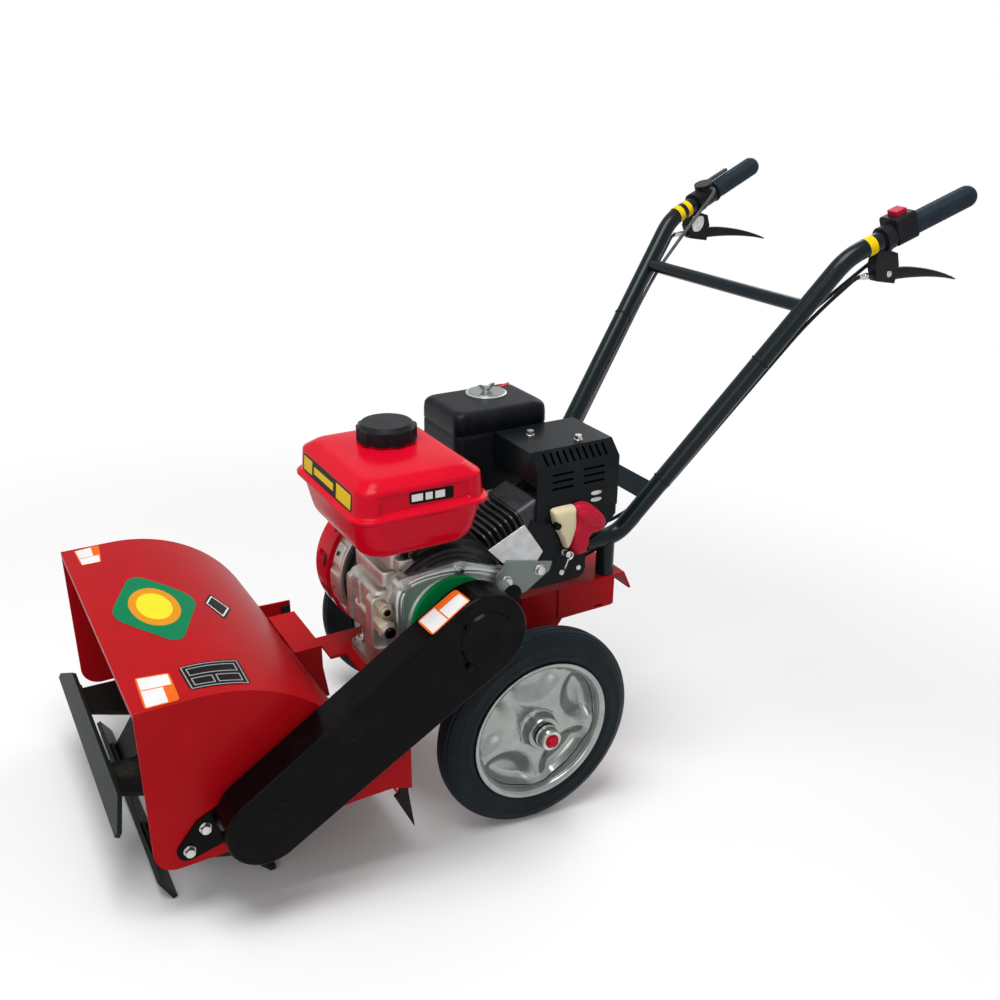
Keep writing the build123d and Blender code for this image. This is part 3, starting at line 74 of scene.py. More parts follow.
CAD_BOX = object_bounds()
JOINTS = {joint["name"]: joint for joint in frame["joints"]}
AXLE = np.array(JOINTS["wheel_left_axle"]["pos_m"])
REEL = np.array(JOINTS["reel_shaft_bearing"]["pos_m"])
MIDDLE_Y = float(REEL[1])
REEL_X, REEL_RISE = 0.4346, 0.014
PITCH = math.atan2(REEL_RISE, REEL_X) - math.atan2(REEL[2] - AXLE[2], REEL[0] - AXLE[0])
AHEAD = np.array([math.cos(PITCH), 0.0, -math.sin(PITCH)])
LEFT = np.array([0.0, 1.0, 0.0])
UP = np.array([math.sin(PITCH), 0.0, math.cos(PITCH)])
WHEEL_RADIUS = float(AXLE[2])
SIDES = (("left", 1), ("right", -1))
# places and sizes in millimetres from the chassis's foot under the axle: ahead, left and up
CRANK = (127.0, 358.0)  # ahead and up
COVER_BOLTS = ((191, 56), (115, 61), (48, 34), (75, -58), (150, -80), (193, -48))  # ahead, over the crank
FLANGE_RADIUS = 93
CASE_LEFT = 193
SHIELD_FACE = 172.8
CLEANER_TOP = 565
LEVER_Y = 208.9  # middle plane of the left hand lever
AXLE_HEIGHT = 150
PAD_SOFT = 0.07  # share of a raised pad that its edge takes
VENT_TURN, VENT_Y = 11.7, 20.0
HOOD = {"arc_x": 460, "radius": 203.5, "top_z": 354.5}
HANDLE = {"low": (-202, 110, 358), "high": (-512, 200, 757), "end": (-707.5, 228, 832.6), "radius": 13.5}
GUARD = {"x": 120, "z": 362, "radius": 58, "lean": 0.5331, "rise": 0.8461}
WALL_FOOT, WALL_SLOPE = 532.5, math.tan(math.radians(5))  # of the tank's upper walls
CAMERA = {"eye": (669.4, 1259.1, 1024.9), "ahead": (-0.503943, -0.794386, -0.339107),
          "right": (-0.859652, 0.499427, 0.10757)}
MIX_A, MIX_B, MIX_OUT = 6, 7, 2  # colour sockets of a mix node


def spot(x, y, z):
    """Model point in metres of a chassis point in millimetres; x, y and z may be arrays."""
    base = np.array([AXLE[0], MIDDLE_Y, AXLE[2]]) - UP * WHEEL_RADIUS
    x, y, z = (np.asarray(value, float)[..., None] / 1000 for value in (x, y, z))
    return base + x * AHEAD + y * LEFT + z * UP


def wheel_centre(side):
    """Middle of a wheel, in metres."""
    return np.array(JOINTS[f"wheel_{side}_axle"]["pos_m"])


# ---------------------------------------------------------------- settings
def colour(label, default):
    """Colour property with a description made from its label."""
    return FloatVectorProperty(
        name=label, description=f"Colour of the {label.lower()}", subtype="COLOR", size=3,
        min=0, max=1, default=default)


class WeederPaint(bpy.types.PropertyGroup):
    frame_red: colour("Frame red", (0.36, 0.003, 0.006))
    tank_red: colour("Tank red", (0.54, 0.002, 0.016))
    guard_black: colour("Guard black", (0.0022, 0.0014, 0.0016))
    tube_black: colour("Tube black", (0.004, 0.009, 0.012))
    grip: colour("Grip", (0.010, 0.018, 0.026))
    tyre: colour("Tyre", (0.004, 0.007, 0.009))
    galvanised: colour("Galvanised steel", (0.36, 0.39, 0.37))
    alloy: colour("Engine alloy", (0.62, 0.58, 0.53))
    cover_alloy: colour("Cover alloy", (0.66, 0.69, 0.68))
    disc_green: colour("Drive disc", (0.0, 0.22, 0.055))
    blade: colour("Reel bars", (0.018, 0.025, 0.021))
    cream: colour("Cream insulator", (0.62, 0.55, 0.36))


class WeederStage(bpy.types.PropertyGroup):
    lens: FloatProperty(name="Lens", description="Camera focal length in millimetres", default=37.98)
    floor_grey: FloatProperty(name="Floor", description="Brightness of the floor and backdrop",
                              min=0, max=1, default=0.82)
    key_power: FloatProperty(name="Key light", description="Power of the key light", default=26)
    fill_power: FloatProperty(name="Fill light", description="Power of the fill light", default=12)
    sky: FloatProperty(name="Sky", description="Strength of the world's light", default=0.42)
    shine: FloatProperty(name="Mirrored sky", description="Strength of the backdrop in reflections",
                         min=0, max=2, default=0.75)


# ---------------------------------------------------------------- material helpers
def new_group(name, inputs, outputs):
    """Empty shader node group with named float, colour or vector sockets."""
    group = bpy.data.node_groups.new(name, "ShaderNodeTree")
    kinds = {"f": "NodeSocketFloat", "c": "NodeSocketColor", "v": "NodeSocketVector"}
    for label, kind, default in inputs:
        socket = group.interface.new_socket(label, in_out="INPUT", socket_type=kinds[kind])
        if default is not None:
            socket.default_value = default
    for label, kind in outputs:
        group.interface.new_socket(label, in_out="OUTPUT", socket_type=kinds[kind])
    return group, group.nodes.new("NodeGroupInput"), group.nodes.new("NodeGroupOutput")


def add(tree, kind, **values):
    """Node of a kind with its own settings; a dict under inputs sets the sockets."""
    node = tree.nodes.new(kind)
    sockets = values.pop("inputs", {})
    for label, value in values.items():
        setattr(node, label, value)
    for label, value in sockets.items():
        node.inputs[label].default_value = value
    return node


def link(tree, *runs):
    """Links, each given as source node, output, target node and input."""
    for source, output, target, into in runs:
        tree.links.new(source.outputs[output], target.inputs[into])


def paint_group():
    """Sprayed paint: faint mottling of colour and gloss, a fine peel and sparse dust."""
    name = "Weeder paint film"
    if name in bpy.data.node_groups:
        return bpy.data.node_groups[name]
    group, into, out = new_group(
        name,
        [("Colour", "c", (0.5, 0.5, 0.5, 1)), ("Dust", "f", 0.15), ("Peel", "f", 0.1),
         ("Roughness", "f", 0.3)],
        [("Colour", "c"), ("Roughness", "f"), ("Height", "f")])
    place = add(group, "ShaderNodeTexCoord")
    mottle = add(group, "ShaderNodeTexNoise", inputs={"Scale": 22.0, "Detail": 4.0})
    dust = add(group, "ShaderNodeTexNoise", inputs={"Scale": 9.0, "Detail": 8.0, "Roughness": 0.7})
    peel = add(group, "ShaderNodeTexNoise", inputs={"Scale": 420.0, "Detail": 2.0})
    shade = add(group, "ShaderNodeMapRange",
                inputs={"From Min": 0.3, "From Max": 0.7, "To Min": 0.94, "To Max": 1.04})
    tint = add(group, "ShaderNodeMix", data_type="RGBA", blend_type="MULTIPLY", inputs={0: 1.0})
    spread = add(group, "ShaderNodeMapRange", inputs={"From Min": 0.55, "From Max": 0.8})
    amount = add(group, "ShaderNodeMath", operation="MULTIPLY")
    dusty = add(group, "ShaderNodeMix", data_type="RGBA", inputs={MIX_B: (0.34, 0.30, 0.25, 1)})
    rough = add(group, "ShaderNodeMath", operation="MULTIPLY_ADD", inputs={1: 0.5})
    lift = add(group, "ShaderNodeMath", operation="MULTIPLY")
    link(group, *((place, "Object", noise, "Vector") for noise in (mottle, dust, peel)),
         (mottle, "Fac", shade, "Value"), (into, "Colour", tint, MIX_A), (shade, "Result", tint, MIX_B),
         (dust, "Fac", spread, "Value"), (spread, "Result", amount, 0), (into, "Dust", amount, 1),
         (amount, 0, dusty, 0), (tint, MIX_OUT, dusty, MIX_A), (amount, 0, rough, 0),
         (into, "Roughness", rough, 2), (peel, "Fac", lift, 0), (into, "Peel", lift, 1),
         (dusty, MIX_OUT, out, "Colour"), (rough, 0, out, "Roughness"), (lift, 0, out, "Height"))
    return group


def grain_group():
    """Cast or moulded skin: blotches at one scale and grit at another, as colour and height."""
    name = "Weeder cast skin"
    if name in bpy.data.node_groups:
        return bpy.data.node_groups[name]
    group, into, out = new_group(
        name,
        [("Colour", "c", (0.5, 0.5, 0.5, 1)), ("Second colour", "c", (0.3, 0.3, 0.3, 1)),
         ("Blotch scale", "f", 30.0), ("Grit scale", "f", 600.0), ("Grit", "f", 0.3)],
        [("Colour", "c"), ("Mask", "f"), ("Height", "f")])
    place = add(group, "ShaderNodeTexCoord")
    blotch = add(group, "ShaderNodeTexNoise", inputs={"Detail": 5.0, "Roughness": 0.6})
    grit = add(group, "ShaderNodeTexNoise", inputs={"Detail": 3.0})
    mask = add(group, "ShaderNodeMapRange", inputs={"From Min": 0.36, "From Max": 0.66})
    blend = add(group, "ShaderNodeMix", data_type="RGBA")
    lift = add(group, "ShaderNodeMath", operation="MULTIPLY")
    link(group, (place, "Object", blotch, "Vector"), (into, "Blotch scale", blotch, "Scale"),
         (place, "Object", grit, "Vector"), (into, "Grit scale", grit, "Scale"),
         (blotch, "Fac", mask, "Value"), (mask, "Result", blend, 0), (into, "Colour", blend, MIX_A),
         (into, "Second colour", blend, MIX_B), (grit, "Fac", lift, 0), (into, "Grit", lift, 1),
         (blend, MIX_OUT, out, "Colour"), (mask, "Result", out, "Mask"), (lift, 0, out, "Height"))
    return group


def blank_material(name, **values):
    """Material of the weeder with a Principled shader; values set its own sockets."""
    made = bpy.data.materials.new(f"Weeder {name}")
    made.use_nodes = True
    shader = made.node_tree.nodes["Principled BSDF"]
    for label, value in values.items():
        shader.inputs[label.replace("_", " ")].default_value = value
    return made, made.node_tree, shader


def bump(tree, shader, source, distance, corner=0.0009):
    """Bump the shader's normal by a node's height, over corners rounded by a small radius."""
    node = add(tree, "ShaderNodeBump", inputs={"Distance": distance, "Strength": 0.6})
    rounded = add(tree, "ShaderNodeBevel", samples=4, inputs={"Radius": corner})
    link(tree, (rounded, "Normal", node, "Normal"), (source, "Height", node, "Height"),
         (node, "Normal", shader, "Normal"))


def painted(name, rgb, roughness=0.3, dust=0.12, peel=0.4, coat=0.03, metallic=0.0, specular=0.05):
    """Sprayed paint of one colour over steel."""
    made, tree, shader = blank_material(
        name, Metallic=metallic, Coat_Weight=coat, Coat_Roughness=0.12, Specular_IOR_Level=specular)
    film = add(tree, "ShaderNodeGroup", node_tree=paint_group(),
               inputs={"Colour": (*rgb, 1), "Dust": dust, "Peel": peel, "Roughness": roughness})
    link(tree, (film, "Colour", shader, "Base Color"), (film, "Roughness", shader, "Roughness"))
    bump(tree, shader, film, 0.0002)
    return made


def cast(name, rgb, second, roughness, metallic, blotch=30.0, grit_scale=600.0, grit=0.6, depth=0.0004):
    """Cast, moulded or galvanised skin of two mixed tones."""
    made, tree, shader = blank_material(
        name, Metallic=metallic, Roughness=roughness, Specular_IOR_Level=0.5 if metallic else 0.1)
    skin = add(tree, "ShaderNodeGroup", node_tree=grain_group(),
               inputs={"Colour": (*rgb, 1), "Second colour": (*second, 1), "Blotch scale": blotch,
                       "Grit scale": grit_scale, "Grit": grit})
    link(tree, (skin, "Colour", shader, "Base Color"))
    bump(tree, shader, skin, depth)
    return made


def panel_group():
    """Printed field: one colour inside a box of the label's own sizes, another outside."""
    name = "Weeder printed field"
    if name in bpy.data.node_groups:
        return bpy.data.node_groups[name]
    group, into, out = new_group(
        name,
        [("Under", "c", (1, 1, 1, 1)), ("Colour", "c", (0, 0, 0, 1)), ("Left", "f", 0.0),
         ("Right", "f", 1.0), ("Bottom", "f", 0.0), ("Top", "f", 1.0)],
        [("Colour", "c")])
    place = add(group, "ShaderNodeTexCoord")
    split = add(group, "ShaderNodeSeparateXYZ")
    link(group, (place, "UV", split, 0))
    mask = None
    for axis, edge, passes in (("X", "Left", "GREATER_THAN"), ("X", "Right", "LESS_THAN"),
                               ("Y", "Bottom", "GREATER_THAN"), ("Y", "Top", "LESS_THAN")):
        test = add(group, "ShaderNodeMath", operation=passes)
        link(group, (split, axis, test, 0), (into, edge, test, 1))
        if mask:
            both = add(group, "ShaderNodeMath", operation="MULTIPLY")
            link(group, (mask, 0, both, 0), (test, 0, both, 1))
            test = both
        mask = test
    mix = add(group, "ShaderNodeMix", data_type="RGBA")
    link(group, (mask, 0, mix, 0), (into, "Under", mix, MIX_A), (into, "Colour", mix, MIX_B),
         (mix, MIX_OUT, out, "Colour"))
    return group


def rings_group():
    """Round target: three colours by distance from the label's middle."""
    name = "Weeder printed rings"
    if name in bpy.data.node_groups:
        return bpy.data.node_groups[name]
    group, into, out = new_group(
        name,
        [("Outside", "c", (0, 0.2, 0.05, 1)), ("Ring", "c", (0.8, 0.2, 0.02, 1)),
         ("Inside", "c", (0.8, 0.5, 0.05, 1)), ("Outer", "f", 0.36), ("Inner", "f", 0.25)],
        [("Colour", "c")])
    place = add(group, "ShaderNodeTexCoord")
    gap = add(group, "ShaderNodeVectorMath", operation="DISTANCE", inputs={1: (0.5, 0.5, 0)})
    link(group, (place, "UV", gap, 0))
    under = (into, "Outside")
    for size, shade in (("Outer", "Ring"), ("Inner", "Inside")):
        test = add(group, "ShaderNodeMath", operation="LESS_THAN")
        mix = add(group, "ShaderNodeMix", data_type="RGBA")
        link(group, (gap, "Value", test, 0), (into, size, test, 1), (test, 0, mix, 0),
             (*under, mix, MIX_A), (into, shade, mix, MIX_B))
        under = (mix, MIX_OUT)
    link(group, (*under, out, "Colour"))
    return group


def printed(name, ground, fields=(), rings=None):
    """Blank printed film: a ground colour with plain fields, or rings, and a little grime."""
    made, tree, shader = blank_material(name, Coat_Weight=0.0, Specular_IOR_Level=0.04)
    under = None
    if rings:
        under = add(tree, "ShaderNodeGroup", node_tree=rings_group(),
                    inputs={"Outside": (*ground, 1), "Ring": (*rings[0], 1), "Inside": (*rings[1], 1)})
    for left, right, bottom, top, rgb in fields:
        field = add(tree, "ShaderNodeGroup", node_tree=panel_group(),
                    inputs={"Under": (*ground, 1), "Colour": (*rgb, 1), "Left": left, "Right": right,
                            "Bottom": bottom, "Top": top})
        if under:
            link(tree, (under, "Colour", field, "Under"))
        under = field
    film = add(tree, "ShaderNodeGroup", node_tree=paint_group(),
               inputs={"Colour": (*ground, 1), "Dust": 0.03, "Peel": 0.2, "Roughness": 0.35})
    if under:
        link(tree, (under, "Colour", film, "Colour"))
    link(tree, (film, "Colour", shader, "Base Color"), (film, "Roughness", shader, "Roughness"))
    return made


def look(name):
    """One of the weeder's finishes."""
    return bpy.data.materials[f"Weeder {name}"]


def finishes(paint):
    """Every finish of the machine, by material slot."""
    dark = lambda rgb, share: tuple(value * share for value in rgb)
    return {
        "frame_red": painted("frame red", paint.frame_red, 0.38, 0.03),
        "tank_red": painted("tank red", paint.tank_red, 0.22, 0.01, 0.2, 0.07),
        "plug_red": painted("plug red", (0.42, 0.01, 0.03), 0.35, 0.15),
        "guard_black": painted("guard black", paint.guard_black, 0.24, 0.02, 0.4),
        "tube_black": painted("tube black", paint.tube_black, 0.24, 0.02, specular=0.16),
        "reel_black": painted("reel black", (0.012, 0.012, 0.012), 0.4, 0.2),
        "blade_steel": painted("reel bars", paint.blade, 0.36, 0.06, metallic=0.2),
        "muffler_black": painted("muffler black", (0.004, 0.006, 0.008), 0.36, 0.03, 0.8, 0.08),
        "disc_green": painted("disc green", paint.disc_green, 0.4, 0.05),
        "bracket_grey": painted("bracket grey", (0.17, 0.20, 0.19), 0.4, 0.1, metallic=0.3),
        "plug_cream": painted("cream", paint.cream, 0.4, 0.05),
        # painted shade: the dark colour put in gaps, windows and vents
        "shadow_green": painted("shadow green", (0.008, 0.020, 0.012), 0.5, 0.05),
        "tyre_rubber": cast("tyre", paint.tyre, dark(paint.tyre, 1.9), 0.48, 0.0, 14, 500),
        "grip_rubber": cast("grip", paint.grip, dark(paint.grip, 1.4), 0.55, 0.0, 40, 900),
        "brass": cast("brass", (0.62, 0.55, 0.40), (0.45, 0.38, 0.26), 0.4, 0.5, 60, 900, 0.2),
        "lever_black": cast("lever black", (0.006, 0.006, 0.007), (0.012, 0.012, 0.014), 0.3, 0.0),
        "control_black": cast("control black", (0.007, 0.007, 0.009), (0.013, 0.013, 0.016), 0.38, 0.0),
        "cleaner_black": cast("cleaner black", (0.004, 0.005, 0.008), (0.008, 0.009, 0.013), 0.42, 0.0),
        "galvanised": cast("galvanised", paint.galvanised, dark(paint.galvanised, 0.8), 0.24, 0.95,
                           40, 200, 0.12),
        "engine_alloy": cast("engine alloy", paint.alloy, dark(paint.alloy, 0.62), 0.42, 0.85, 25, 900),
        "cover_alloy": cast("cover alloy", paint.cover_alloy, dark(paint.cover_alloy, 0.78), 0.36, 0.85,
                            20, 900),
        # near black: in part painted shade between the fins and under the tank
        "fin_alloy": cast("fins", (0.045, 0.045, 0.05), (0.02, 0.02, 0.023), 0.45, 0.6, 40, 900),
        "label_silver": cast("silver label", (0.55, 0.56, 0.57), (0.42, 0.43, 0.44), 0.3, 0.6, 60, 600, 0.1),
        "cable_black": cast("black cable", (0.010, 0.010, 0.012), (0.017, 0.017, 0.019), 0.4, 0.0),
        "cable_grey": cast("grey cable", (0.06, 0.062, 0.065), (0.09, 0.092, 0.095), 0.4, 0.0),
        "bolt_steel": cast("bolt steel", (0.62, 0.62, 0.60), (0.42, 0.42, 0.40), 0.28, 1.0, 90, 900, 0.2),
    }


# ---------------------------------------------------------------- mesh helpers
def way(x, y, z):
    """Unit direction in the model of a chassis direction."""
    heading = x * AHEAD + y * LEFT + z * UP
    return heading / np.linalg.norm(heading)


OUT, ABOVE = way(0, 1, 0), way(0, 0, 1)


def grid_faces(rows, columns, wrap=False):
    """Quads of a grid of rows by columns; wrap joins the last column to the first."""
    row = np.arange(rows - 1)[:, None]
    column = np.arange(columns if wrap else columns - 1)[None, :]
    after = (column + 1) % columns
    corners = (row * columns + column, row * columns + after,
               (row + 1) * columns + after, (row + 1) * columns + column)
    return np.stack(np.broadcast_arrays(*corners), -1).reshape(-1, 4)


def piece(name, points, faces, body, material, uv=None, sharp=32.0, closed=True):
    """Mesh object on a body: doubles are merged, and a closed shell's faces are turned outwards."""
    mesh = bpy.data.meshes.new(name)
    mesh.from_pydata(np.asarray(points, float).reshape(-1, 3).tolist(), [], np.asarray(faces).tolist())
    if uv is not None:
        layer = mesh.uv_layers.new(name="UVMap")
        corners = np.empty(len(mesh.loops), np.int32)
        mesh.loops.foreach_get("vertex_index", corners)
        layer.data.foreach_set("uv", np.asarray(uv, np.float32).reshape(-1, 2)[corners].ravel())
    shell = bmesh.new()
    shell.from_mesh(mesh)
    bmesh.ops.remove_doubles(shell, verts=shell.verts, dist=2e-6)
    bmesh.ops.dissolve_degenerate(shell, dist=1e-6, edges=shell.edges)
    if closed:
        bmesh.ops.recalc_face_normals(shell, faces=shell.faces)
    shell.to_mesh(mesh)
    shell.free()
    mesh.shade_smooth()
    mesh.set_sharp_from_angle(angle=math.radians(sharp))
    made = bpy.data.objects.new(name, mesh)
    bpy.context.scene.collection.objects.link(made)
    mesh.materials.append(material)
    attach(made, body)
    return made


def cross_axes(axis):
    """Two unit vectors square to an axis and to each other."""
    side = np.cross(axis, UP if abs(axis @ UP) < 0.9 else AHEAD)
    side = side / np.linalg.norm(side)
    return side, np.cross(axis, side)


def turned(profile, centre, axis, sectors=48, shape=None):
    """Rings about an axis: point = centre + height x axis + radius x shape(angle) x turning arm.

    The profile is rows of radius and height in millimetres, and shape scales the radius by angle."""
    radius, height = np.asarray(profile, float).T / 1000
    angle = np.arange(sectors) * 2 * math.pi / sectors
    across, upright = cross_axes(axis)
    arm = np.cos(angle)[:, None] * across + np.sin(angle)[:, None] * upright
    scale = np.ones((len(radius), sectors)) if shape is None else shape(radius, angle)
    points = centre + height[:, None, None] * axis + (radius[:, None] * scale)[..., None] * arm
    return points, grid_faces(len(radius), sectors, wrap=True)


def joined(parts):
    """Points and faces of several grids as one mesh."""
    points, faces, start = [], [], 0
    for grid, quads in parts:
        grid = grid.reshape(-1, 3)
        points.append(grid)
        faces.append(quads + start)
        start += len(grid)
    return np.concatenate(points), np.concatenate(faces)


def fitted(name, grid, material, slot, body="chassis", replaces=None, **more):
    """Piece of a grid's points and faces in place of a CAD node if one is named; the slot is not used."""
    made = piece(name, *grid, body, material, **more)
    if replaces:
        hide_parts(replaces)


def smooth(share):
    """Smooth step from 0 to 1."""
    share = np.clip(share, 0, 1)
    return share * share * (3 - 2 * share)


def swell(value, power):
    """Power of a cosine or sine with its sign kept, which squares off a circle."""
    return np.sign(value) * np.abs(value) ** power


def outwards(faces, flat, above):
    """Quads, turned over if the first doesn't face the points above it."""
    first, second, _, last = flat[faces[0]]
    rise = (above - flat)[faces[0][0]]
    return faces if np.cross(second - first, last - first) @ rise >= 0 else faces[:, ::-1]


def hexagon(angle):
    """Radius of a hexagon by angle, as a share of half its size across the flats."""
    return 1 / np.cos((angle + math.pi / 6) % (math.pi / 3) - math.pi / 6)


def bolt(centre, axis, across, height=None, washer=1.35, sectors=24):
    """Hexagon bolt head on a washer; the top's corners are cut by a cone."""
    height = height or 0.6 * across
    flat = across / 2
    profile = [(0.001, -1), (flat * washer, -1), (flat * washer, 1.0), (flat * washer - 0.3, 1.3),
               (flat, 1.3), (flat, height - 0.14 * across), (flat, height), (0.8 * flat, height),
               (0.001, height)]
    wall, top = slice(4, 6), 6  # rows of the profile
    corner = 1 / math.cos(math.pi / 6)

    def shape(radius, angle):
        scale = np.ones((len(radius), len(angle)))
        scale[wall] = hexagon(angle)
        scale[top] = np.minimum(hexagon(angle), 1 + 0.25 * (corner - 1))
        return scale

    return turned(profile, centre, axis, sectors, shape)


def hexed(radius, angle):
    """Scale of a nut's rings by angle: the wide ones are hexagons."""
    return np.where((radius > 0.0078)[:, None], 0.93 * hexagon(angle), 1)


def oval(centre, axis, wide, tall, height, sectors=32):
    """Flat-topped oval button: the radius by angle is that of an ellipse."""
    profile = [(0.001, -1), (1, -1), (1, height - 0.3), (0.86, height), (0.001, height)]

    def shape(radius, angle):
        ellipse = 1 / np.sqrt((np.cos(angle) / wide) ** 2 + (np.sin(angle) / tall) ** 2)
        return np.broadcast_to(ellipse, (len(radius), len(angle)))

    return turned(profile, centre, axis, sectors, shape)


def rounded_rings(rings, middle, half):
    """Level rounded oblongs, one for each height, distance in from the half sizes and corner radius.

    Each corner is a quarter circle of 14 points, and each side a straight run of 48."""
    rows = []
    for z, inset, corner in rings:
        wide, deep, ring = half[0] - inset - corner, half[1] - inset - corner, []
        corners = ((1, 1), (-1, 1), (-1, -1), (1, -1))
        for number, (across, along) in enumerate(corners):
            turn = np.radians(90 * number + np.linspace(0, 90, 14))
            arc = np.stack([across * wide + corner * np.cos(turn), along * deep + corner * np.sin(turn)], 1)
            after = corners[(number + 1) % 4]
            end = np.array([after[0] * wide + corner * np.cos(turn[-1]),
                            after[1] * deep + corner * np.sin(turn[-1])])
            ring += [arc, arc[-1] + np.linspace(0, 1, 50)[1:-1, None] * (end - arc[-1])]
        ring = np.concatenate(ring) + middle
        rows.append(np.column_stack([ring, np.full(len(ring), z)]))
    return np.array(rows)


def capped(rows, middle, low, high):
    """Shell of level rings, closed by a point at its floor and one at its top."""
    ends = [np.broadcast_to(np.array([*middle, z], float), rows[:1].shape) for z in (low, high)]
    rows = np.concatenate([ends[0], rows, ends[1]])
    return spot(rows[..., 0], rows[..., 1], rows[..., 2]), grid_faces(len(rows), rows.shape[1], wrap=True)


def dome(centre, axis, radius, height, sectors=32):
    """Round-headed screw: radius follows a quarter ellipse."""
    turn = np.linspace(0, math.pi / 2, 7)
    profile = np.stack([radius * np.cos(turn), height * np.sin(turn)], 1)
    profile[-1, 0] = 0.001
    return turned(np.vstack([[(0.001, -1), (radius, -1)], profile]), centre, axis, sectors)


def ring_band(centre, axis, inner, outer, start, end, sectors=48, soft=0.4):
    """Closed sleeve round an axis with softened edges."""
    profile = [(inner, start), (outer - soft, start), (outer, start + soft), (outer, end - soft),
               (outer - soft, end), (inner, end), (inner, start)]
    return turned(profile, centre, axis, sectors)


def patch(corners, surface, lift=0.4, soft=0.05, count=22):
    """Thin film between four corners of a surface's own two sizes, blended bilinearly and lifted.
    A tenth power of each size pulls the corners in, which rounds them.

    Returns its points, quads and a UV that runs from the first corner to the second and fourth."""
    steps = 0.5 - 0.5 * np.cos(np.linspace(0, math.pi, count))
    across, along = np.meshgrid(steps, steps)
    pull = lambda one, other: 0.5 + (one - 0.5) * (1 - soft * np.abs(2 * other - 1) ** 10)
    across, along = pull(across, along), pull(along, across)
    first, second, third, fourth = np.array(corners, float)
    one, other = across[..., None], along[..., None]
    place = (1 - other) * ((1 - one) * first + one * second) + other * (one * third + (1 - one) * fourth)
    flat, above = (surface(place[..., 0], place[..., 1], rise).reshape(-1, 3) for rise in (lift, lift + 1))
    uv = np.stack([across, along], -1).reshape(-1, 2)
    return flat, outwards(grid_faces(count, count), flat, above), uv


def smooth_loop(points, count=120):
    """Closed curve through points: each run is a cubic whose slopes join its neighbours' ends."""
    points = np.array(points, float)
    place = np.arange(count) * len(points) / count
    index, share = place.astype(int), (place % 1)[:, None]
    before, first, second, after = (points[(index + step) % len(points)] for step in (-1, 0, 1, 2))
    return first + share / 2 * (second - before + share * (
        2 * before - 5 * first + 4 * second - after + share * (3 * (first - second) + after - before)))


def pillow(outline, face, depth, edge=0.35, rings=9):
    """Closed form over a side outline: the outline shrinks by a power of a cosine as it rises by a sine."""
    loop = smooth_loop(outline)
    middle = loop.mean(0)
    turn = np.linspace(0, math.pi / 2, rings)[:, None]
    reach, rise = np.cos(turn) ** edge, face + depth * np.sin(turn) ** 0.8
    reach[-1] = 0.0
    x = middle[0] + (loop[:, 0] - middle[0]) * reach
    z = middle[1] + (loop[:, 1] - middle[1]) * reach
    front = spot(x, np.broadcast_to(rise, x.shape), z)
    back = spot(np.stack([loop[:, 0], np.full(len(loop), middle[0])]), np.full((2, len(loop)), float(face)),
                np.stack([loop[:, 1], np.full(len(loop), middle[1])]))
    rows = np.concatenate([back[::-1], front])
    return rows, grid_faces(len(rows), len(loop), wrap=True)


def slab(outline, face, thickness):
    """Flat sheet with a side outline, its rim closed: rows from the middle out, over the edge and back."""
    loop = np.array(outline, float)
    middle = loop.mean(0)
    rows = []
    for reach, y in ((0, face), (1, face), (1, face - thickness), (0, face - thickness)):
        x, z = (middle + (loop - middle) * reach).T
        rows.append(spot(x, np.full(len(loop), float(y)), z))
    return np.array(rows), grid_faces(4, len(loop), wrap=True)


def hood_surface(x, y, lift):
    """Hood's top: flat ahead of the arc's start, and behind it a circle round the arc's centre."""
    turn = np.arcsin(np.clip((HOOD["arc_x"] - x) / HOOD["radius"], 0, 1))
    ahead = np.maximum(x, HOOD["arc_x"])
    radius = HOOD["radius"] + lift
    return spot(np.where(x >= HOOD["arc_x"], ahead, HOOD["arc_x"] - radius * np.sin(turn)), y,
                HOOD["top_z"] - HOOD["radius"] + np.where(x >= HOOD["arc_x"], radius, radius * np.cos(turn)))


def guard_surface(x, y, lift):
    """Belt guard's rim: a circle round its upper centre, then the straight run towards the reel."""
    radius, lean = GUARD["radius"] + lift, GUARD["lean"]
    bend = np.arcsin(np.clip((x - GUARD["x"]) / GUARD["radius"], -1, lean))
    run = np.maximum(x - GUARD["x"] - GUARD["radius"] * lean, 0)
    return spot(GUARD["x"] + radius * np.sin(bend) + run, y,
                GUARD["z"] + radius * np.cos(bend) - run * lean / GUARD["rise"])


def tank_front(y, z, lift):
    """Fuel tank's leaning front wall, by width and height."""
    return spot(260.7 - (z - WALL_FOOT) * WALL_SLOPE + lift, y, z)


def tank_panel(x, z, lift):
    """Upright recessed panel in the tank's left wall."""
    return spot(x, 239.5 + lift + 0 * x, z)


def wire(line, radius, sectors=12):
    """Round wire along points: each ring stands square to the run, on arms carried along it."""
    run = np.gradient(line, axis=0)
    run = run / np.linalg.norm(run, axis=1)[:, None]
    side = np.cross(run, LEFT)
    side = side / np.linalg.norm(side, axis=1)[:, None]
    other = np.cross(run, side)
    angle = np.arange(sectors) * 2 * math.pi / sectors
    reach = np.concatenate([[0], np.full(len(line) - 2, radius / 1000), [0]])
    arm = side[:, None] * np.cos(angle)[:, None] + other[:, None] * np.sin(angle)[:, None]
    return line[:, None] + reach[:, None, None] * arm, grid_faces(len(line), sectors, wrap=True)


def handle_run(sign, first, second):
    """Two of a handle's points on one side, and the unit direction from the one to the other."""
    start, end = (spot(x, sign * y, z) for x, y, z in (HANDLE[first], HANDLE[second]))
    return start, end, (end - start) / np.linalg.norm(end - start)


def crank_spot(angle, radius, y):
    """Point at an angle above the front, a radius from the crank and a width."""
    return spot(CRANK[0] + radius * np.cos(angle), y, CRANK[1] + radius * np.sin(angle))


def drum(radius):
    """Surface of a drum round the crank, by degrees above the front and by width."""
    return lambda turn, y, lift: crank_spot(np.radians(turn), radius + lift, y)


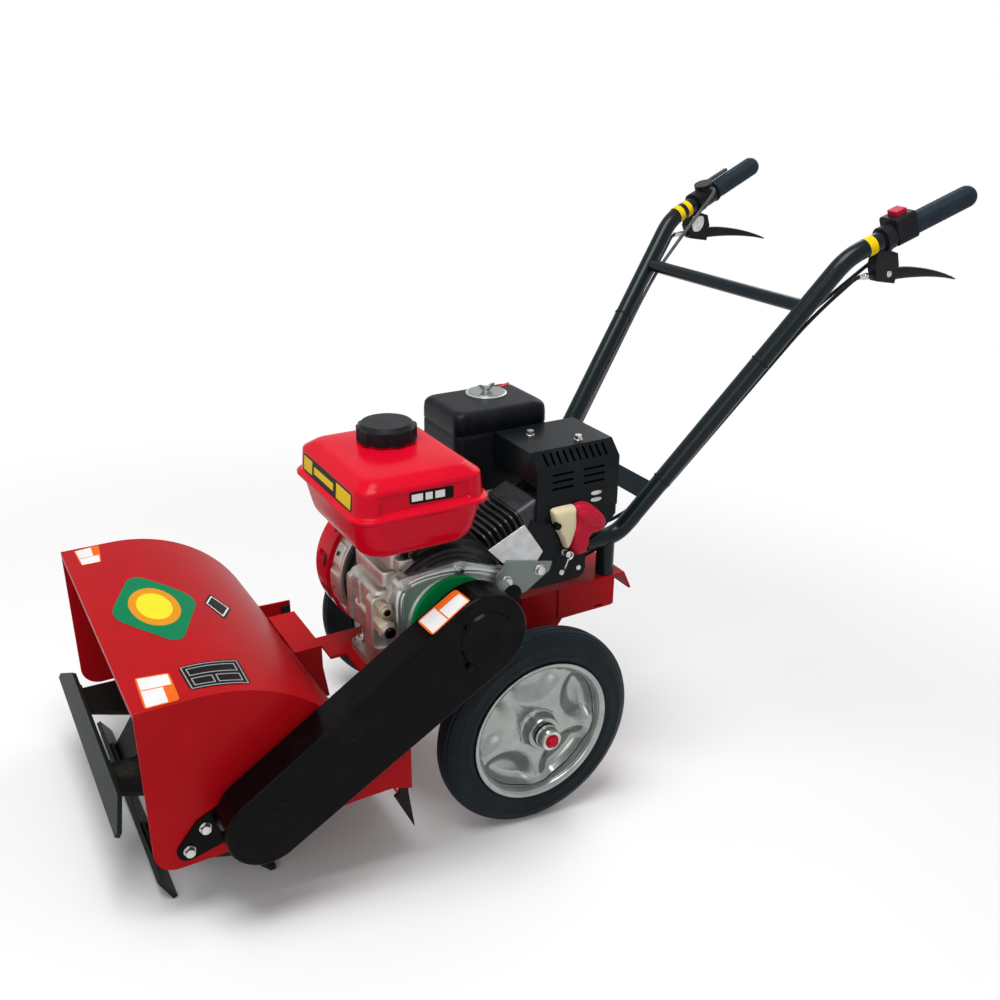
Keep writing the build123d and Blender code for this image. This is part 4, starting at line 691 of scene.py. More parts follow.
def case_face(turn, reach, lift):
    """The case's near face, by degrees above the front and by radius."""
    return crank_spot(np.radians(turn), reach, CASE_LEFT + lift)


def pad(surface, turns, widths, height, rows=24, columns=24):
    """Raised pad on a surface: its height falls to zero by a root over a share of each side."""
    across, along = np.meshgrid(np.linspace(0, 1, columns), np.linspace(0, 1, rows))
    edge = np.minimum.reduce([across, 1 - across, along, 1 - along])
    rise = np.minimum(1, edge / PAD_SOFT) ** 0.5 * height
    turn = turns[0] + (turns[1] - turns[0]) * across
    size = widths[0] + (widths[1] - widths[0]) * along
    flat, above = (surface(turn, size, lift).reshape(-1, 3) for lift in (rise - 1, rise))
    return flat, outwards(grid_faces(rows, columns), flat, above)


def block(low, high, edge=0.16, rings=10, sides=96):
    """Rounded box: a superellipse in height and width, its front drawn in by a power of a sine."""
    turn = np.arange(sides) * 2 * math.pi / sides
    climb = np.linspace(0, math.pi / 2, rings)[:, None]
    reach = np.cos(climb) ** edge
    reach[-1] = 0
    low, high = np.array(low, float), np.array(high, float)
    middle, half = (low + high) / 2, (high - low) / 2
    x = np.broadcast_to(low[0] + 2 * half[0] * np.sin(climb) ** 0.7, (rings, sides))
    front = spot(x, middle[1] + half[1] * reach * swell(np.cos(turn), 0.22),
                 middle[2] + half[2] * reach * swell(np.sin(turn), 0.22))
    rows = np.concatenate([np.broadcast_to(spot(low[0], middle[1], middle[2]), front[:1].shape), front])
    return rows, grid_faces(len(rows), sides, wrap=True)


# ---------------------------------------------------------------- stage
def area_light(name, place, target, size, power):
    """Soft square lamp at place, aimed at target."""
    lamp = bpy.data.lights.new(name, "AREA")
    lamp.energy, lamp.size = power, size
    holder = bpy.data.objects.new(name, lamp)
    heading = Vector(target) - Vector(place)
    holder.matrix_world = Matrix.Translation(place) @ heading.to_track_quat("-Z", "Y").to_matrix().to_4x4()
    bpy.context.scene.collection.objects.link(holder)
    return holder


class WEEDER_OT_stage(bpy.types.Operator):
    """Floor, backdrop, lamps, world and camera"""

    bl_idname = "weeder.stage"
    bl_label = "Stage"

    def execute(self, context):
        stage = context.scene.weeder_stage
        camera = bpy.data.cameras.new("Weeder camera")
        camera.lens, camera.sensor_width = stage.lens, 36
        holder = bpy.data.objects.new("Weeder camera", camera)
        ahead, right = Vector(CAMERA["ahead"]), Vector(CAMERA["right"])
        turn = Matrix((right, right.cross(ahead), -ahead)).transposed().to_4x4()
        holder.matrix_world = Matrix.Translation(Vector(spot(*CAMERA["eye"]))) @ turn
        context.scene.collection.objects.link(holder)
        context.scene.camera = holder

        reach = 30.0
        mesh = bpy.data.meshes.new("floor")
        mesh.from_pydata([(-reach, -reach, 0), (reach, -reach, 0), (reach, reach, 0), (-reach, reach, 0)],
                         [], [(0, 1, 2, 3)])
        floor = bpy.data.objects.new("floor", mesh)
        context.scene.collection.objects.link(floor)
        floor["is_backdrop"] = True
        # the floor fades into the white backdrop with distance, for the camera and for reflections
        made, tree, shader = blank_material("floor", Roughness=0.9, Specular_IOR_Level=0.1)
        shader.inputs["Base Color"].default_value = (*[stage.floor_grey] * 3, 1)
        place = add(tree, "ShaderNodeTexCoord")
        gap = add(tree, "ShaderNodeVectorMath", operation="LENGTH")
        fade = add(tree, "ShaderNodeMapRange", interpolation_type="SMOOTHSTEP",
                   inputs={"From Min": 0.7, "From Max": 1.7})
        rays = add(tree, "ShaderNodeLightPath")
        seen = add(tree, "ShaderNodeMath", operation="MAXIMUM")
        share = add(tree, "ShaderNodeMath", operation="MULTIPLY")
        glow = add(tree, "ShaderNodeEmission", inputs={"Color": (1, 1, 1, 1), "Strength": 1.0})
        blend = add(tree, "ShaderNodeMixShader")
        link(tree, (place, "Object", gap, 0), (gap, "Value", fade, "Value"),
             (rays, "Is Camera Ray", seen, 0), (rays, "Is Glossy Ray", seen, 1),
             (fade, "Result", share, 0), (seen, 0, share, 1),
             (share, 0, blend, 0), (shader, 0, blend, 1), (glow, 0, blend, 2),
             (blend, 0, tree.nodes["Material Output"], 0))
        floor.data.materials.append(made)

        area_light("key", (0.9, 0.5, 3.2), (0, 0, 0.4), 1.6, stage.key_power * 3.4)
        area_light("fill", (2.2, 2.2, 1.6), (0, 0, 0.4), 1.6, stage.fill_power * 1.4)
        area_light("back", (-2.2, -1.6, 2.4), (0, 0, 0.5), 2.0, stage.fill_power * 2.0)

        # the world's light: one strength for soft light, one for reflections, plain white behind
        world = bpy.data.worlds.new("Weeder world")
        context.scene.world = world
        world.use_nodes = True
        tree = world.node_tree
        soft = tree.nodes["Background"]
        soft.inputs["Color"].default_value = (1, 1, 1, 1)
        soft.inputs["Strength"].default_value = stage.sky
        shine, plain = (
            add(tree, "ShaderNodeBackground", inputs={"Color": (1, 1, 1, 1), "Strength": strength})
            for strength in (stage.shine, 1.0))
        rays = add(tree, "ShaderNodeLightPath")
        first, last = add(tree, "ShaderNodeMixShader"), add(tree, "ShaderNodeMixShader")
        link(tree, (rays, "Is Glossy Ray", first, 0), (soft, 0, first, 1), (shine, 0, first, 2),
             (rays, "Is Camera Ray", last, 0), (first, 0, last, 1), (plain, 0, last, 2),
             (last, 0, tree.nodes["World Output"], 0))
        context.scene.view_settings.view_transform = "Standard"
        return {"FINISHED"}


class WEEDER_OT_finishes(bpy.types.Operator):
    """Finish of every solid of the frame"""

    bl_idname = "weeder.finishes"
    bl_label = "Finishes"

    def execute(self, context):
        made = finishes(context.scene.weeder_paint)
        slots = {part["node"]: part["material_slot"] for part in frame["record"]["subparts"]}
        for name, node in frame["nodes"].items():
            node.data.materials.clear()
            node.data.materials.append(made[slots[name]])
        return {"FINISHED"}


class WEEDER_OT_tyres(bpy.types.Operator):
    """Grooved tyres with two ridges on each sidewall"""

    bl_idname = "weeder.tyres"
    bl_label = "Tyres"

    def execute(self, context):
        bead, grooves, groove_depth, groove_width = 103.0, (-12.5, -4.5, 4.5, 12.5), 1.8, 1.1
        for side, _ in SIDES:
            low, high = (np.array(corner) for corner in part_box(f"tyre_{side}"))
            outer, half = (high[2] - low[2]) / 2 * 1000, (high[1] - low[1]) / 2 * 1000
            # once round the section from bead to bead: radius and width follow a rounded oval,
            # less a bell curve at each tread groove, plus a bell curve at each sidewall ring
            turn = np.linspace(-math.pi, math.pi, 181)
            middle, reach = (outer + bead) / 2, (outer - bead) / 2
            power = np.where(np.cos(turn) > 0, 2.6, 4.5)
            bulge = (np.abs(np.cos(turn)) ** power + np.abs(np.sin(turn)) ** power) ** (-1 / power)
            radius = middle + reach * np.cos(turn) * bulge
            width = half * np.sin(turn) * bulge
            crown = np.clip(np.cos(turn), 0, 1) ** 0.5
            radius = radius - crown * 3.0 * (width / half) ** 2
            for place in grooves:
                bell = np.exp(-((width - place) / groove_width) ** 2)
                radius = radius - groove_depth * bell * (radius > outer - 9)
            wall = (np.abs(width) > half * 0.7) & (radius < outer - 4)
            for ring, size in ((0.60, 1.0), (0.28, 0.8)):
                level = bead + (outer - bead) * ring
                width = width + np.sign(width) * wall * size * (np.exp(-((radius - level) / 1.1) ** 2) - 0.5)
            section = np.stack([radius, width], 1)[::-1]
            fitted(f"dressed_tyre_{side}", turned(section, wheel_centre(side), LEFT, 128), look("tyre"),
                   "tyre_rubber", f"wheel_{side}", f"tyre_{side}", sharp=50)
        return {"FINISHED"}


class WEEDER_OT_tank(bpy.types.Operator):
    """Fuel tank with rolled edges, a domed top, a folded seam and side panels, and the air cleaner"""

    bl_idname = "weeder.tank"
    bl_label = "Tank and air cleaner"

    def execute(self, context):
        middle, half = (177.0, 140.5), (90.0, 109.5)
        # each ring's height, distance in from the seam and corner radius, from the floor to the top
        rings = [(468, 60, 12), (468, 38, 20), (468.8, 30, 24), (470.5, 25, 26), (473.5, 20.5, 28),
                 (478, 17.2, 28), (484, 14.6, 28), (492, 12.8, 28), (504, 10.6, 27), (517, 8.3, 26),
                 (521, 7.4, 26), (523, 5.8, 26), (524.2, 3.0, 27), (524.8, 0.6, 28), (525.6, 0, 28),
                 (528.4, 0, 28), (529.2, 0.6, 28), (529.7, 2.6, 27), (530.4, 4.6, 26), (531.6, 5.9, 25)]
        rings += [(z, 6 + (z - 529) * WALL_SLOPE, 24 - (z - WALL_FOOT) * 0.1)
                  for z in (WALL_FOOT, 533.5, 534.5, 536, 540, 544, 548, 551, 552.5, 553.5, 554.5, 556)]
        rings += [(558.8, 8.8, 21), (560.2, 9.7, 20), (561.6, 11.2, 20), (564, 14.4, 19), (567, 18.4, 19),
                  (568.8, 20.9, 18), (570, 23.2, 18), (570.7, 26, 18), (571.1, 31, 18), (571.8, 42, 18),
                  (572.6, 56, 16), (573.0, 72, 12)]
        rows = rounded_rings(rings, middle, half)
        # the panel: a smooth step by length and height draws each side wall in to one plane
        panel_length, panel_height, panel_z, panel_face = 60, 11, 544, 99.0
        mask = smooth((panel_length - np.abs(rows[..., 0] - middle[0])) / 3)
        mask = mask * smooth((panel_height - np.abs(rows[..., 2] - panel_z)) / 1.6)
        over = rows[..., 1] - middle[1]
        rows[..., 1] -= np.sign(over) * np.clip(np.abs(over) - panel_face, 0, None) * mask
        neck = turned([(0.001, -6), (34, -6), (34, 4), (0.001, 4)], spot(168, 115, 572), ABOVE, 64)
        fitted("dressed_tank", joined([capped(rows, middle, 468, 573.2), neck]), look("tank red"), "tank_red",
               replaces="fuel_tank", sharp=50)
        # air cleaner: flat floor, soft lower edge, a parting line under the lid and a rolled shoulder
        middle, half = (-37.0, -2.5), (74.0, 55.5)
        rings = [(446, 20, 8), (446, 3, 10), (446.8, 1, 12), (448.5, 0.2, 12), (470, 0, 12), (500, 0, 12),
                 (525, 0.1, 12), (531, 0.2, 12), (532, 0.9, 12), (533.4, 0.9, 12), (534.4, 0.1, 12),
                 (548, 0.2, 12), (554, 0.4, 13), (557.5, 1.0, 13), (560, 2.1, 14), (562, 3.7, 14),
                 (563.5, 5.7, 14), (564.5, 8.2, 14), (564.9, 10.8, 13), (565, 14, 12), (565, 28, 10),
                 (565, 44, 8)]
        fitted("dressed_cleaner", capped(rounded_rings(rings, middle, half), middle, 446, CLEANER_TOP),
               look("cleaner black"), "cleaner_black", replaces="air_cleaner", sharp=60)
        return {"FINISHED"}


class WEEDER_OT_rims(bpy.types.Operator):
    """Pressed steel wheels: a dish with five lens hollows, a hexagon plate and a stepped hub"""

    bl_idname = "weeder.rims"
    bl_label = "Wheel rims"

    def execute(self, context):
        sectors, hollows, hollow_place, hollow_reach = 240, 5, 92, 51
        angle = np.arange(sectors) * 2 * math.pi / sectors
        # height of the dish's face above the wheel's middle: the arm's profile, less thirteen
        # millimetres by a smooth step of the distance from the nearest hollow's centre
        radii = np.array([20, 30, 38, 44, 50, 56, 62, 68, 74, 80, 85, 89, 92, 94, 96, 97.5, 98.5, 100, 102,
                          104, 105.5, 106])[:, None]
        arm = np.array([8, 7.5, 7, 6.5, 6, 5.6, 5.2, 4.8, 4.5, 4.3, 4.4, 5.2, 7, 10, 14.5, 18.5, 20.3, 21.2,
                        22.4, 22.9, 22.4, 21])[:, None]
        half_step = math.pi / hollows
        nearest = (angle - math.radians(56) + half_step) % (2 * half_step) - half_step
        gap = np.sqrt(radii ** 2 + hollow_place ** 2 - 2 * radii * hollow_place * np.cos(nearest))
        wall = np.clip((97 - radii) / 10, 0, 1)
        brow = np.exp(-((gap - hollow_reach - 0.5) / 2.4) ** 2) * wall * 0.9
        height = arm - smooth((1 - gap / hollow_reach) / 0.45) * wall * 13 + brow
        rows = np.concatenate([np.broadcast_to(radii, height.shape),
                               np.broadcast_to(radii[::-1] - 0.6, height.shape)])
        heights = np.concatenate([height, height[::-1] - 2.4])
        # rows of radius and height of the turned parts
        barrel = [(105.8, 21), (98, 18), (96.5, 12), (96.5, -12), (98, -18), (105.8, -21), (106, -23),
                  (104, -22.6), (96.4, -19), (94.4, -12), (94.4, 12), (96.4, 17), (105.8, 21)]
        hub = [(10.1, 4), (29, 5), (28.6, 9.5), (26.2, 11.5), (25.0, 25), (23.6, 27.2), (17.6, 27.6),
               (17.2, 33), (15.6, 34.4), (15.4, 43.6), (14.2, 45), (10.1, 45), (10.1, 4)]
        inner = [(10.1, -25), (16, -25), (16, -22), (18, -20), (22, -12), (26, -4), (30, 4), (20, 5),
                 (10.1, 5), (10.1, -25)]
        plate = [(20, 5), (27, 5), (27, 9), (26.4, 9.6), (20, 9.6), (20, 5)]

        def plated(radius, turn):
            """The hub plate's outer rings are hexagons."""
            return np.where((radius > 0.0255)[:, None] & (radius < 0.0275)[:, None], hexagon(turn), 1)

        for side, sign in SIDES:
            axle, outward = wheel_centre(side), way(0, sign, 0)
            around, upright = cross_axes(outward)
            arms = np.cos(angle)[:, None] * around + np.sin(angle)[:, None] * upright
            shell = axle + (rows / 1000)[..., None] * arms + (heights / 1000)[..., None] * outward
            parts = [(shell, grid_faces(len(rows), sectors, wrap=True)), turned(barrel, axle, outward, 160),
                     turned(hub, axle, outward, 96), turned(inner, axle, outward, 64),
                     turned(plate, axle, outward, 96, plated)]
            fitted(f"dressed_rim_{side}", joined(parts), look("galvanised"), "galvanised", f"wheel_{side}",
                   f"wheel_rim_{side}", sharp=40)
            fitted(f"hub_seal_{side}", ring_band(axle, outward, 15.5, 17.9, 27.8, 31.5, 64),
                   look("guard black"), "guard_black", f"wheel_{side}")
        return {"FINISHED"}


class WEEDER_OT_levers(bpy.types.Operator):
    """Arched hand levers and ribbed grips"""

    bl_idname = "weeder.levers"
    bl_label = "Levers and grips"

    def execute(self, context):
        # stations along the blade: x, upper edge, lower edge, width; the section is a rounded oblong
        along = np.array([(-590, 737, 722, 8.5), (-600, 736.5, 719, 9.5), (-622, 736.8, 719.5, 9.8),
                          (-648, 733.5, 718.6, 9.6), (-672, 729.2, 717, 9), (-694, 724.2, 714.6, 8.2),
                          (-715, 718, 711.6, 7.2), (-732, 712, 708, 5.6), (-740, 708.6, 706.4, 3.6)])
        share, ends = np.linspace(0, 1, 60), np.linspace(0, 1, len(along))
        x, *edges = (np.interp(share, ends, column) for column in along.T)
        upper, lower, width = (np.convolve(np.pad(edge, 3, mode="edge"), np.ones(7) / 7, "valid")
                               for edge in edges)
        turn = np.arange(32) * 2 * math.pi / 32
        z = (upper + lower)[:, None] / 2 + (upper - lower)[:, None] / 2 * swell(np.sin(turn), 0.7)
        # the grip, from its collar to its end: radius and place along the tube, then a domed end
        run = np.concatenate([[-102, -102, -101, -99], np.linspace(-98, -4, 95)])
        ribs = np.sin(np.arange(95) * 0.9) > 0.6
        body = np.concatenate([[13.6, 17.2, 18.2, 17.6], 15.6 - 0.35 * ribs])
        bend = np.linspace(0, math.pi / 2, 10)
        end_rows = np.stack([15.9 * np.cos(bend), 15.5 * np.sin(bend)], 1)
        profile = np.concatenate([np.stack([body, run], 1), end_rows])
        profile[-1, 0] = 0.001

        def facets(radius, angle):
            """Ten shallow ridges along the grip's body."""
            zone = ((radius > 0.0150) & (radius < 0.01565))[:, None]
            return np.where(zone, 1 + 0.035 * np.abs(np.cos(5 * angle)) ** 3, 1)

        for side, sign in SIDES:
            y = sign * LEVER_Y + width[:, None] / 2 * swell(np.cos(turn), 0.55)
            rows = spot(np.broadcast_to(x[:, None], y.shape), y, z)
            caps = [np.broadcast_to(rows[end].mean(0), rows[end].shape) for end in (0, -1)]
            rows = np.concatenate([caps[:1], rows, caps[1:]])
            fitted(f"dressed_lever_{side}", (rows, grid_faces(len(rows), len(turn), wrap=True)),
                   look("lever black"), "control_black", replaces=f"hand_lever_{side}")
            _, end, heading = handle_run(sign, "high", "end")
            fitted(f"dressed_grip_{side}", turned(profile, end, heading, 80, facets), look("grip"),
                   "grip_rubber", replaces=f"grip_{side}")
        return {"FINISHED"}


class WEEDER_OT_plug(bpy.types.Operator):
    """Cream insulator, red rubber cap, their clip and the black shield behind them"""

    bl_idname = "weeder.plug"
    bl_label = "Plug and shield"

    def execute(self, context):
        block_line = [(-40, 457), (-52, 459), (-64, 459), (-76, 457), (-77, 446), (-78, 436), (-77, 424),
                      (-73, 410), (-68, 398), (-64, 396), (-60, 404), (-56, 414), (-50, 424), (-46, 434),
                      (-42, 444)]
        fitted("dressed_insulator", pillow(block_line, 173, 14, 0.22), look("cream"), "plug_cream",
               replaces="spark_plug")
        boot = [(-75, 455), (-84, 460), (-96, 458), (-108, 450), (-119, 440), (-127, 428), (-125, 417),
                (-114, 413), (-103, 413), (-96, 404), (-95, 392), (-91, 383), (-80, 383), (-74, 392),
                (-72, 406), (-71, 420), (-76, 434)]
        fold = [(-78, 449), (-90, 452), (-103, 444), (-115, 434), (-119, 424), (-106, 422), (-92, 428),
                (-80, 436)]
        fitted("dressed_cap", joined([pillow(boot, 173, 17, 0.3), pillow(fold, 184, 9, 0.5)]),
               look("plug red"), "plug_red", replaces="plug_cap", sharp=60)
        sheet = [(-12, 446), (-150, 446), (-150, 428), (-128, 405), (-101, 398), (-101.5, 372),
                 (-102.5, 356), (-100, 347), (-93, 342), (-84, 341), (-40, 341), (-4, 343), (4, 352),
                 (4, 400)]
        fitted("dressed_shield", slab(sheet, SHIELD_FACE, 3), look("muffler black"), "muffler_black",
               replaces="lower_shield")
        turn = np.linspace(0, 1.6 * math.pi, 26)
        loop = np.stack([-66 + 5.5 * np.cos(turn), np.full(26, 186.0), 387 + 5.5 * np.sin(turn)], 1)
        line = np.concatenate([loop, [(-60, 186, 372), (-58, 186, 362)]])
        clip = [wire(spot(*line.T), 1.3), bolt(spot(-66, SHIELD_FACE, 387), OUT, 7, 12)]
        fitted("plug_clip", joined(clip), look("bolt steel"), "galvanised")
        return {"FINISHED"}


class WEEDER_OT_engine_trim(bpy.types.Operator):
    """Crankcase front, flywheel casting, plugs, cover ridges and the starter's oval vents, with painted shade in
    the vents, the flywheel's gaps and under the tank
    """

    bl_idname = "weeder.engine_trim"
    bl_label = "Engine castings"

    def execute(self, context):
        alloy, steel, black = look("engine alloy"), look("bolt steel"), look("guard black")
        crank = spot(CRANK[0], 0, CRANK[1])
        pads = [pad(drum(FLANGE_RADIUS), turns, widths, height) for turns, widths, height in (
            ((-52, -24), (34, 60), 4.5), ((-20, 10), (34, 62), 5.5), ((13, 34), (36, 58), 4.0),
            ((38, 66), (34, 60), 5.0), ((70, 104), (36, 58), 4.0))]
        fitted("flywheel_pads", joined(pads), alloy, "engine_alloy", closed=False)
        fitted("flywheel_flange", ring_band(crank, OUT, 86, 93.6, 45, 63, 120, 1.2), alloy, "engine_alloy")

        def buttons(places, radius):
            """Oval buttons round the crank, from rows of angle, y, the oval's two half sizes and height."""
            return [oval(crank_spot(angle, radius, y), way(math.cos(angle), 0, math.sin(angle)), *sizes)
                    for angle, y, *sizes in places]

        # painted shade: a dark band in the gap between the flywheel's flange and the case, and dark ovals in the
        # small windows in the pads
        windows = buttons(((math.radians(turn), y, wide / 2, tall / 2, 0.4) for turn, y, wide, tall in (
            (-5, 48, 5, 4), (24, 47, 4, 7), (52, 48, 7, 5), (-38, 47, 5, 6))), FLANGE_RADIUS + 4.6)
        fitted("flywheel_gaps", joined([ring_band(crank, OUT, 84, 88.8, 63.5, 71, 96), *windows]),
               look("shadow green"), "guard_black")
        # the starter's vents are dark ovals of painted shade in its openings
        vents = buttons(((math.radians(VENT_TURN + 30 * step), VENT_Y, 5.6, 9.5, 3.2) for step in range(12)),
                        97.4)
        fitted("starter_vents", joined(vents), look("shadow green"), "disc_green")
        # near-black fins and pads: the pad over the drum's top is painted shade under the tank, in part a black
        # shroud, and the fins' dark colour is in part painted shade between them
        top = drum(88)
        fins = [pad(top, (60, 150), (54, 192), 2.6), pad(case_face, (36, 152), (54, 89.6), 3.2, columns=60)]
        fins += [pad(top, (66, 150), (y, y + 2.6), 9, rows=6, columns=40) for y in range(62, 190, 12)]
        fins += [pad(case_face, (40, 150), (reach, reach + 2.4), 6.5, rows=6, columns=60)
                 for reach in (66, 73, 80, 87)]
        fitted("case_fins", joined(fins), look("fins"), "fin_alloy", closed=False)
        # front of the case: a broad rounded block and upright ribs
        blocks = [block(low, high) for low, high in (
            ((196, 92, 322), (221, 182, 404)), ((206, 98, 326), (225.5, 110, 398)),
            ((205, 128, 330), (223.5, 137, 400)), ((200, 160, 318), (226.5, 183, 396)),
            ((190, 84, 396), (208, 176, 424)), ((170, 92, 424), (190, 186, 440)),
            ((190, 118, 262), (214, 180, 330)))]
        fitted("case_front", joined(blocks), alloy, "engine_alloy", sharp=50)
        stud = [(0.001, -10), (9, -10), (9, 4), (7.5, 5), (7.5, 8), (4.2, 8), (4.2, 24), (3.2, 25),
                (0.001, 25)]
        fitted("foot_stud", turned(stud, spot(190, 58, 263), ABOVE, 48, hexed), steel, "galvanised", sharp=25)
        # two oil plugs, upper and lower, with a screw and a knob at their ends
        upper, lower = spot(214, 182, 382), spot(216, 182, 360)
        plugs = [turned([(0.001, 0), (8, 0), (8, 10), (9.6, 10.4), (9.6, 15), (7.6, 16), (7.6, 20.6),
                         (6.4, 21.6), (0.001, 21.6)], upper, OUT, 48, hexed),
                 turned([(0.001, 0), (9.6, 0), (9.6, 18), (11, 18.6), (11, 24), (8.4, 25), (8.4, 29),
                         (0.001, 29)], lower, OUT, 48, hexed)]
        fitted("case_plugs", joined(plugs), look("brass"), "plug_cream", sharp=25)
        ends = [turned([(0.001, 29), (7.2, 29), (7.2, 34), (5.8, 36), (0.001, 36)], lower, OUT, 32),
                dome(spot(214, 203.6, 382), OUT, 4.4, 1.6)]
        fitted("plug_ends", joined(ends), black, "guard_black")
        # cast ridges that join the side cover's bolts
        places = COVER_BOLTS[:3] + ((44, -10),) + COVER_BOLTS[3:] + ((200, 4),)
        outer = smooth_loop([(x, CRANK[1] + z) for x, z in places], 240)
        inner = outer.mean(0) + (outer - outer.mean(0)) * 0.93
        ridges = [wire(spot(line[:, 0], np.full(len(line), 205.2), line[:, 1]), radius, 16)
                  for line, radius in ((outer, 3.4), (inner, 2.6))]
        fitted("cover_ridges", joined(ridges), look("cover alloy"), "cover_alloy", sharp=60)
        return {"FINISHED"}


class WEEDER_OT_bolts(bpy.types.Operator):
    """Bolts, screws and rivets of the frame, guard, engine and wheels"""

    bl_idname = "weeder.bolts"
    bl_label = "Bolts"

    def execute(self, context):
        steel, black = look("bolt steel"), look("guard black")
        disc = [(0.001, -1), (29.4, -1), (30, -0.6), (30, 0.9), (29.2, 1.5), (27.5, 1.7), (26.8, 1.3),
                (0.001, 1.3)]
        groups = {
            "strap_bolts": (steel, [bolt(spot(x, 234, z), OUT, 11) for x, z in ((469, 179), (490, 153.5))]),
            "guard_rivets": (black, [dome(spot(x, y, z), OUT, 4, 2.4) for x, y, z in (
                (147, 291, 382.5), (145, 291, 330), (300, 287, 280), (392, 287, 222))]),
            "cover_bolts": (steel, [bolt(spot(x, 208, CRANK[1] + z), OUT, 8, 5) for x, z in COVER_BOLTS]),
            "bracket_bolts": (steel, [bolt(spot(x, 215, z), OUT, 11) for x, z in ((1, 395.3), (51, 391))]),
            "foot_bolts": (steel, [bolt(spot(x, y, 263), ABOVE, 12) for x in (26, 188) for y in (58, 134)]),
            "muffler_studs": (steel, [bolt(spot(x, y, 535.5), ABOVE, 9, 7)
                                      for x, y in ((-55, 95), (-103, 142))]),
            "insulator_screw": (black, [bolt(spot(-45, 184, 436), OUT, 9, 5)]),
            "shield_rivet": (steel, [dome(spot(x, SHIELD_FACE, z), OUT, radius, 1.5)
                                     for x, z, radius in ((-63, 356, 4.4), (-91, 357, 4))]),
            "starter_bolts": (steel, [bolt(crank_spot(turn, 84, -11.5), -OUT, 8, 5)
                                      for turn in np.radians((30, 150, 270))]),
            "cleaner_disc": (look("silver label"), [turned(disc, spot(-50, -20, 565.2), ABOVE, 72)]),
            "perch_pivots": (steel, [dome(spot(-584, sign * 216.2, 730), way(0, sign, 0), 5, 2.4)
                                     for _, sign in SIDES]),
        }
        for name, (material, parts) in groups.items():
            fitted(name, joined(parts), material, "galvanised" if material is steel else "guard_black")
        for side, sign in SIDES:
            outward = way(0, sign, 0)
            washer, nut = (spot(0, sign * y, AXLE_HEIGHT) for y in (256, 258.5))
            fitted(f"axle_washer_{side}", ring_band(washer, outward, 9, 14.5, -0.2, 2.2), steel, "galvanised",
                   f"wheel_{side}")
            fitted(f"axle_nut_{side}", bolt(nut, outward, 12, 6, 1.25), look("plug red"), "plug_red")
        return {"FINISHED"}


class WEEDER_OT_labels(bpy.types.Operator):
    """Blank labels, plates and stripes"""

    bl_idname = "weeder.labels"
    bl_label = "Labels"

    def execute(self, context):
        white, orange, ink = (0.66, 0.67, 0.66), (0.68, 0.12, 0.012), (0.006, 0.006, 0.007)
        silver, yellow, green = (0.30, 0.30, 0.30), (0.72, 0.50, 0.006), (0.0, 0.17, 0.065)
        # the fields of a film: left, right, bottom and top as shares of it, and colour
        sticker = printed("sticker", orange, [(0.04, 0.42, 0.06, 0.94, white),
                                              (0.45, 0.96, 0.06, 0.68, white)])
        badge = printed("badge", green, rings=((0.60, 0.24, 0.01), (0.66, 0.60, 0.02)))
        plate = printed("data plate", ink, [
            (0.03, 0.97, 0.04, 0.96, silver), (0.05, 0.95, 0.07, 0.93, ink), (0.1, 0.45, 0.55, 0.85, silver),
            (0.12, 0.43, 0.58, 0.82, ink), (0.5, 0.9, 0.55, 0.85, silver), (0.52, 0.88, 0.58, 0.82, ink),
            (0.1, 0.9, 0.15, 0.45, silver), (0.12, 0.88, 0.18, 0.42, ink)])
        small = printed("small diamond", ink, [(0.08, 0.92, 0.08, 0.92, white),
                                               (0.14, 0.86, 0.14, 0.86, ink)])
        stripe = printed("tank stripe", ink, [
            (0.02, 0.2, 0.12, 0.88, yellow), (0.24, 0.64, 0.3, 0.7, yellow), (0.7, 0.98, 0.1, 0.9, yellow)])
        near = printed("tank label", ink, [(left, right, 0.2, 0.8, white) for left, right in (
            (0.05, 0.30), (0.36, 0.52), (0.58, 0.8))])
        band = printed("yellow band", yellow)
        red = printed("red stripe", (0.55, 0.02, 0.03))
        lid = lambda x, y, lift: spot(x, y, CLEANER_TOP + lift)
        for name, material, surface, corners in (
            ("label_hood_far", sticker, hood_surface,
             ((512, -170.6), (513.6, -224), (478.2, -229), (485.3, -170.1))),
            ("label_hood_badge", badge, hood_surface, ((460, -111), (391, -19.5), (444, 108), (509, -1.4))),
            ("label_hood_small", small, hood_surface, ((387, -8), (371, -41), (352.5, -4.6), (373, 38))),
            ("label_hood_plate", plate, hood_surface, ((463, 158), (391.5, 156), (393.5, 217), (462, 213))),
            ("label_hood_near", sticker, hood_surface, ((512, 157), (516, 226), (477, 226), (474, 164))),
            ("label_guard", sticker, guard_surface, ((192, 284), (139, 282), (140.6, 245.7), (193, 244))),
            ("label_tank_front", stripe, tank_front, ((62, 532.5), (218.5, 532.5), (218.5, 556), (62, 556))),
            ("label_tank_near", near, tank_panel, ((197, 538), (139.5, 536), (139.5, 551.5), (197, 553))),
            ("label_cleaner", red, lid, ((-74, -36), (-104, -50), (-104, -43), (-72, -29))),
        ):
            points, faces, uv = patch(corners, surface, soft=0.13 if material is badge else 0.05)
            fitted(name, (points, faces), material, "label_silver", uv=uv, closed=False)
        tube = HANDLE["radius"]
        for name, sign, bands in (("bands_left", 1, ((31, 44),)), ("bands_right", -1, ((14, 25), (34, 44)))):
            high, _, heading = handle_run(sign, "high", "end")
            parts = [ring_band(high, heading, tube - 0.3, tube + 0.5, *ends, soft=0.2) for ends in bands]
            fitted(name, joined(parts), band, "label_silver")
        return {"FINISHED"}


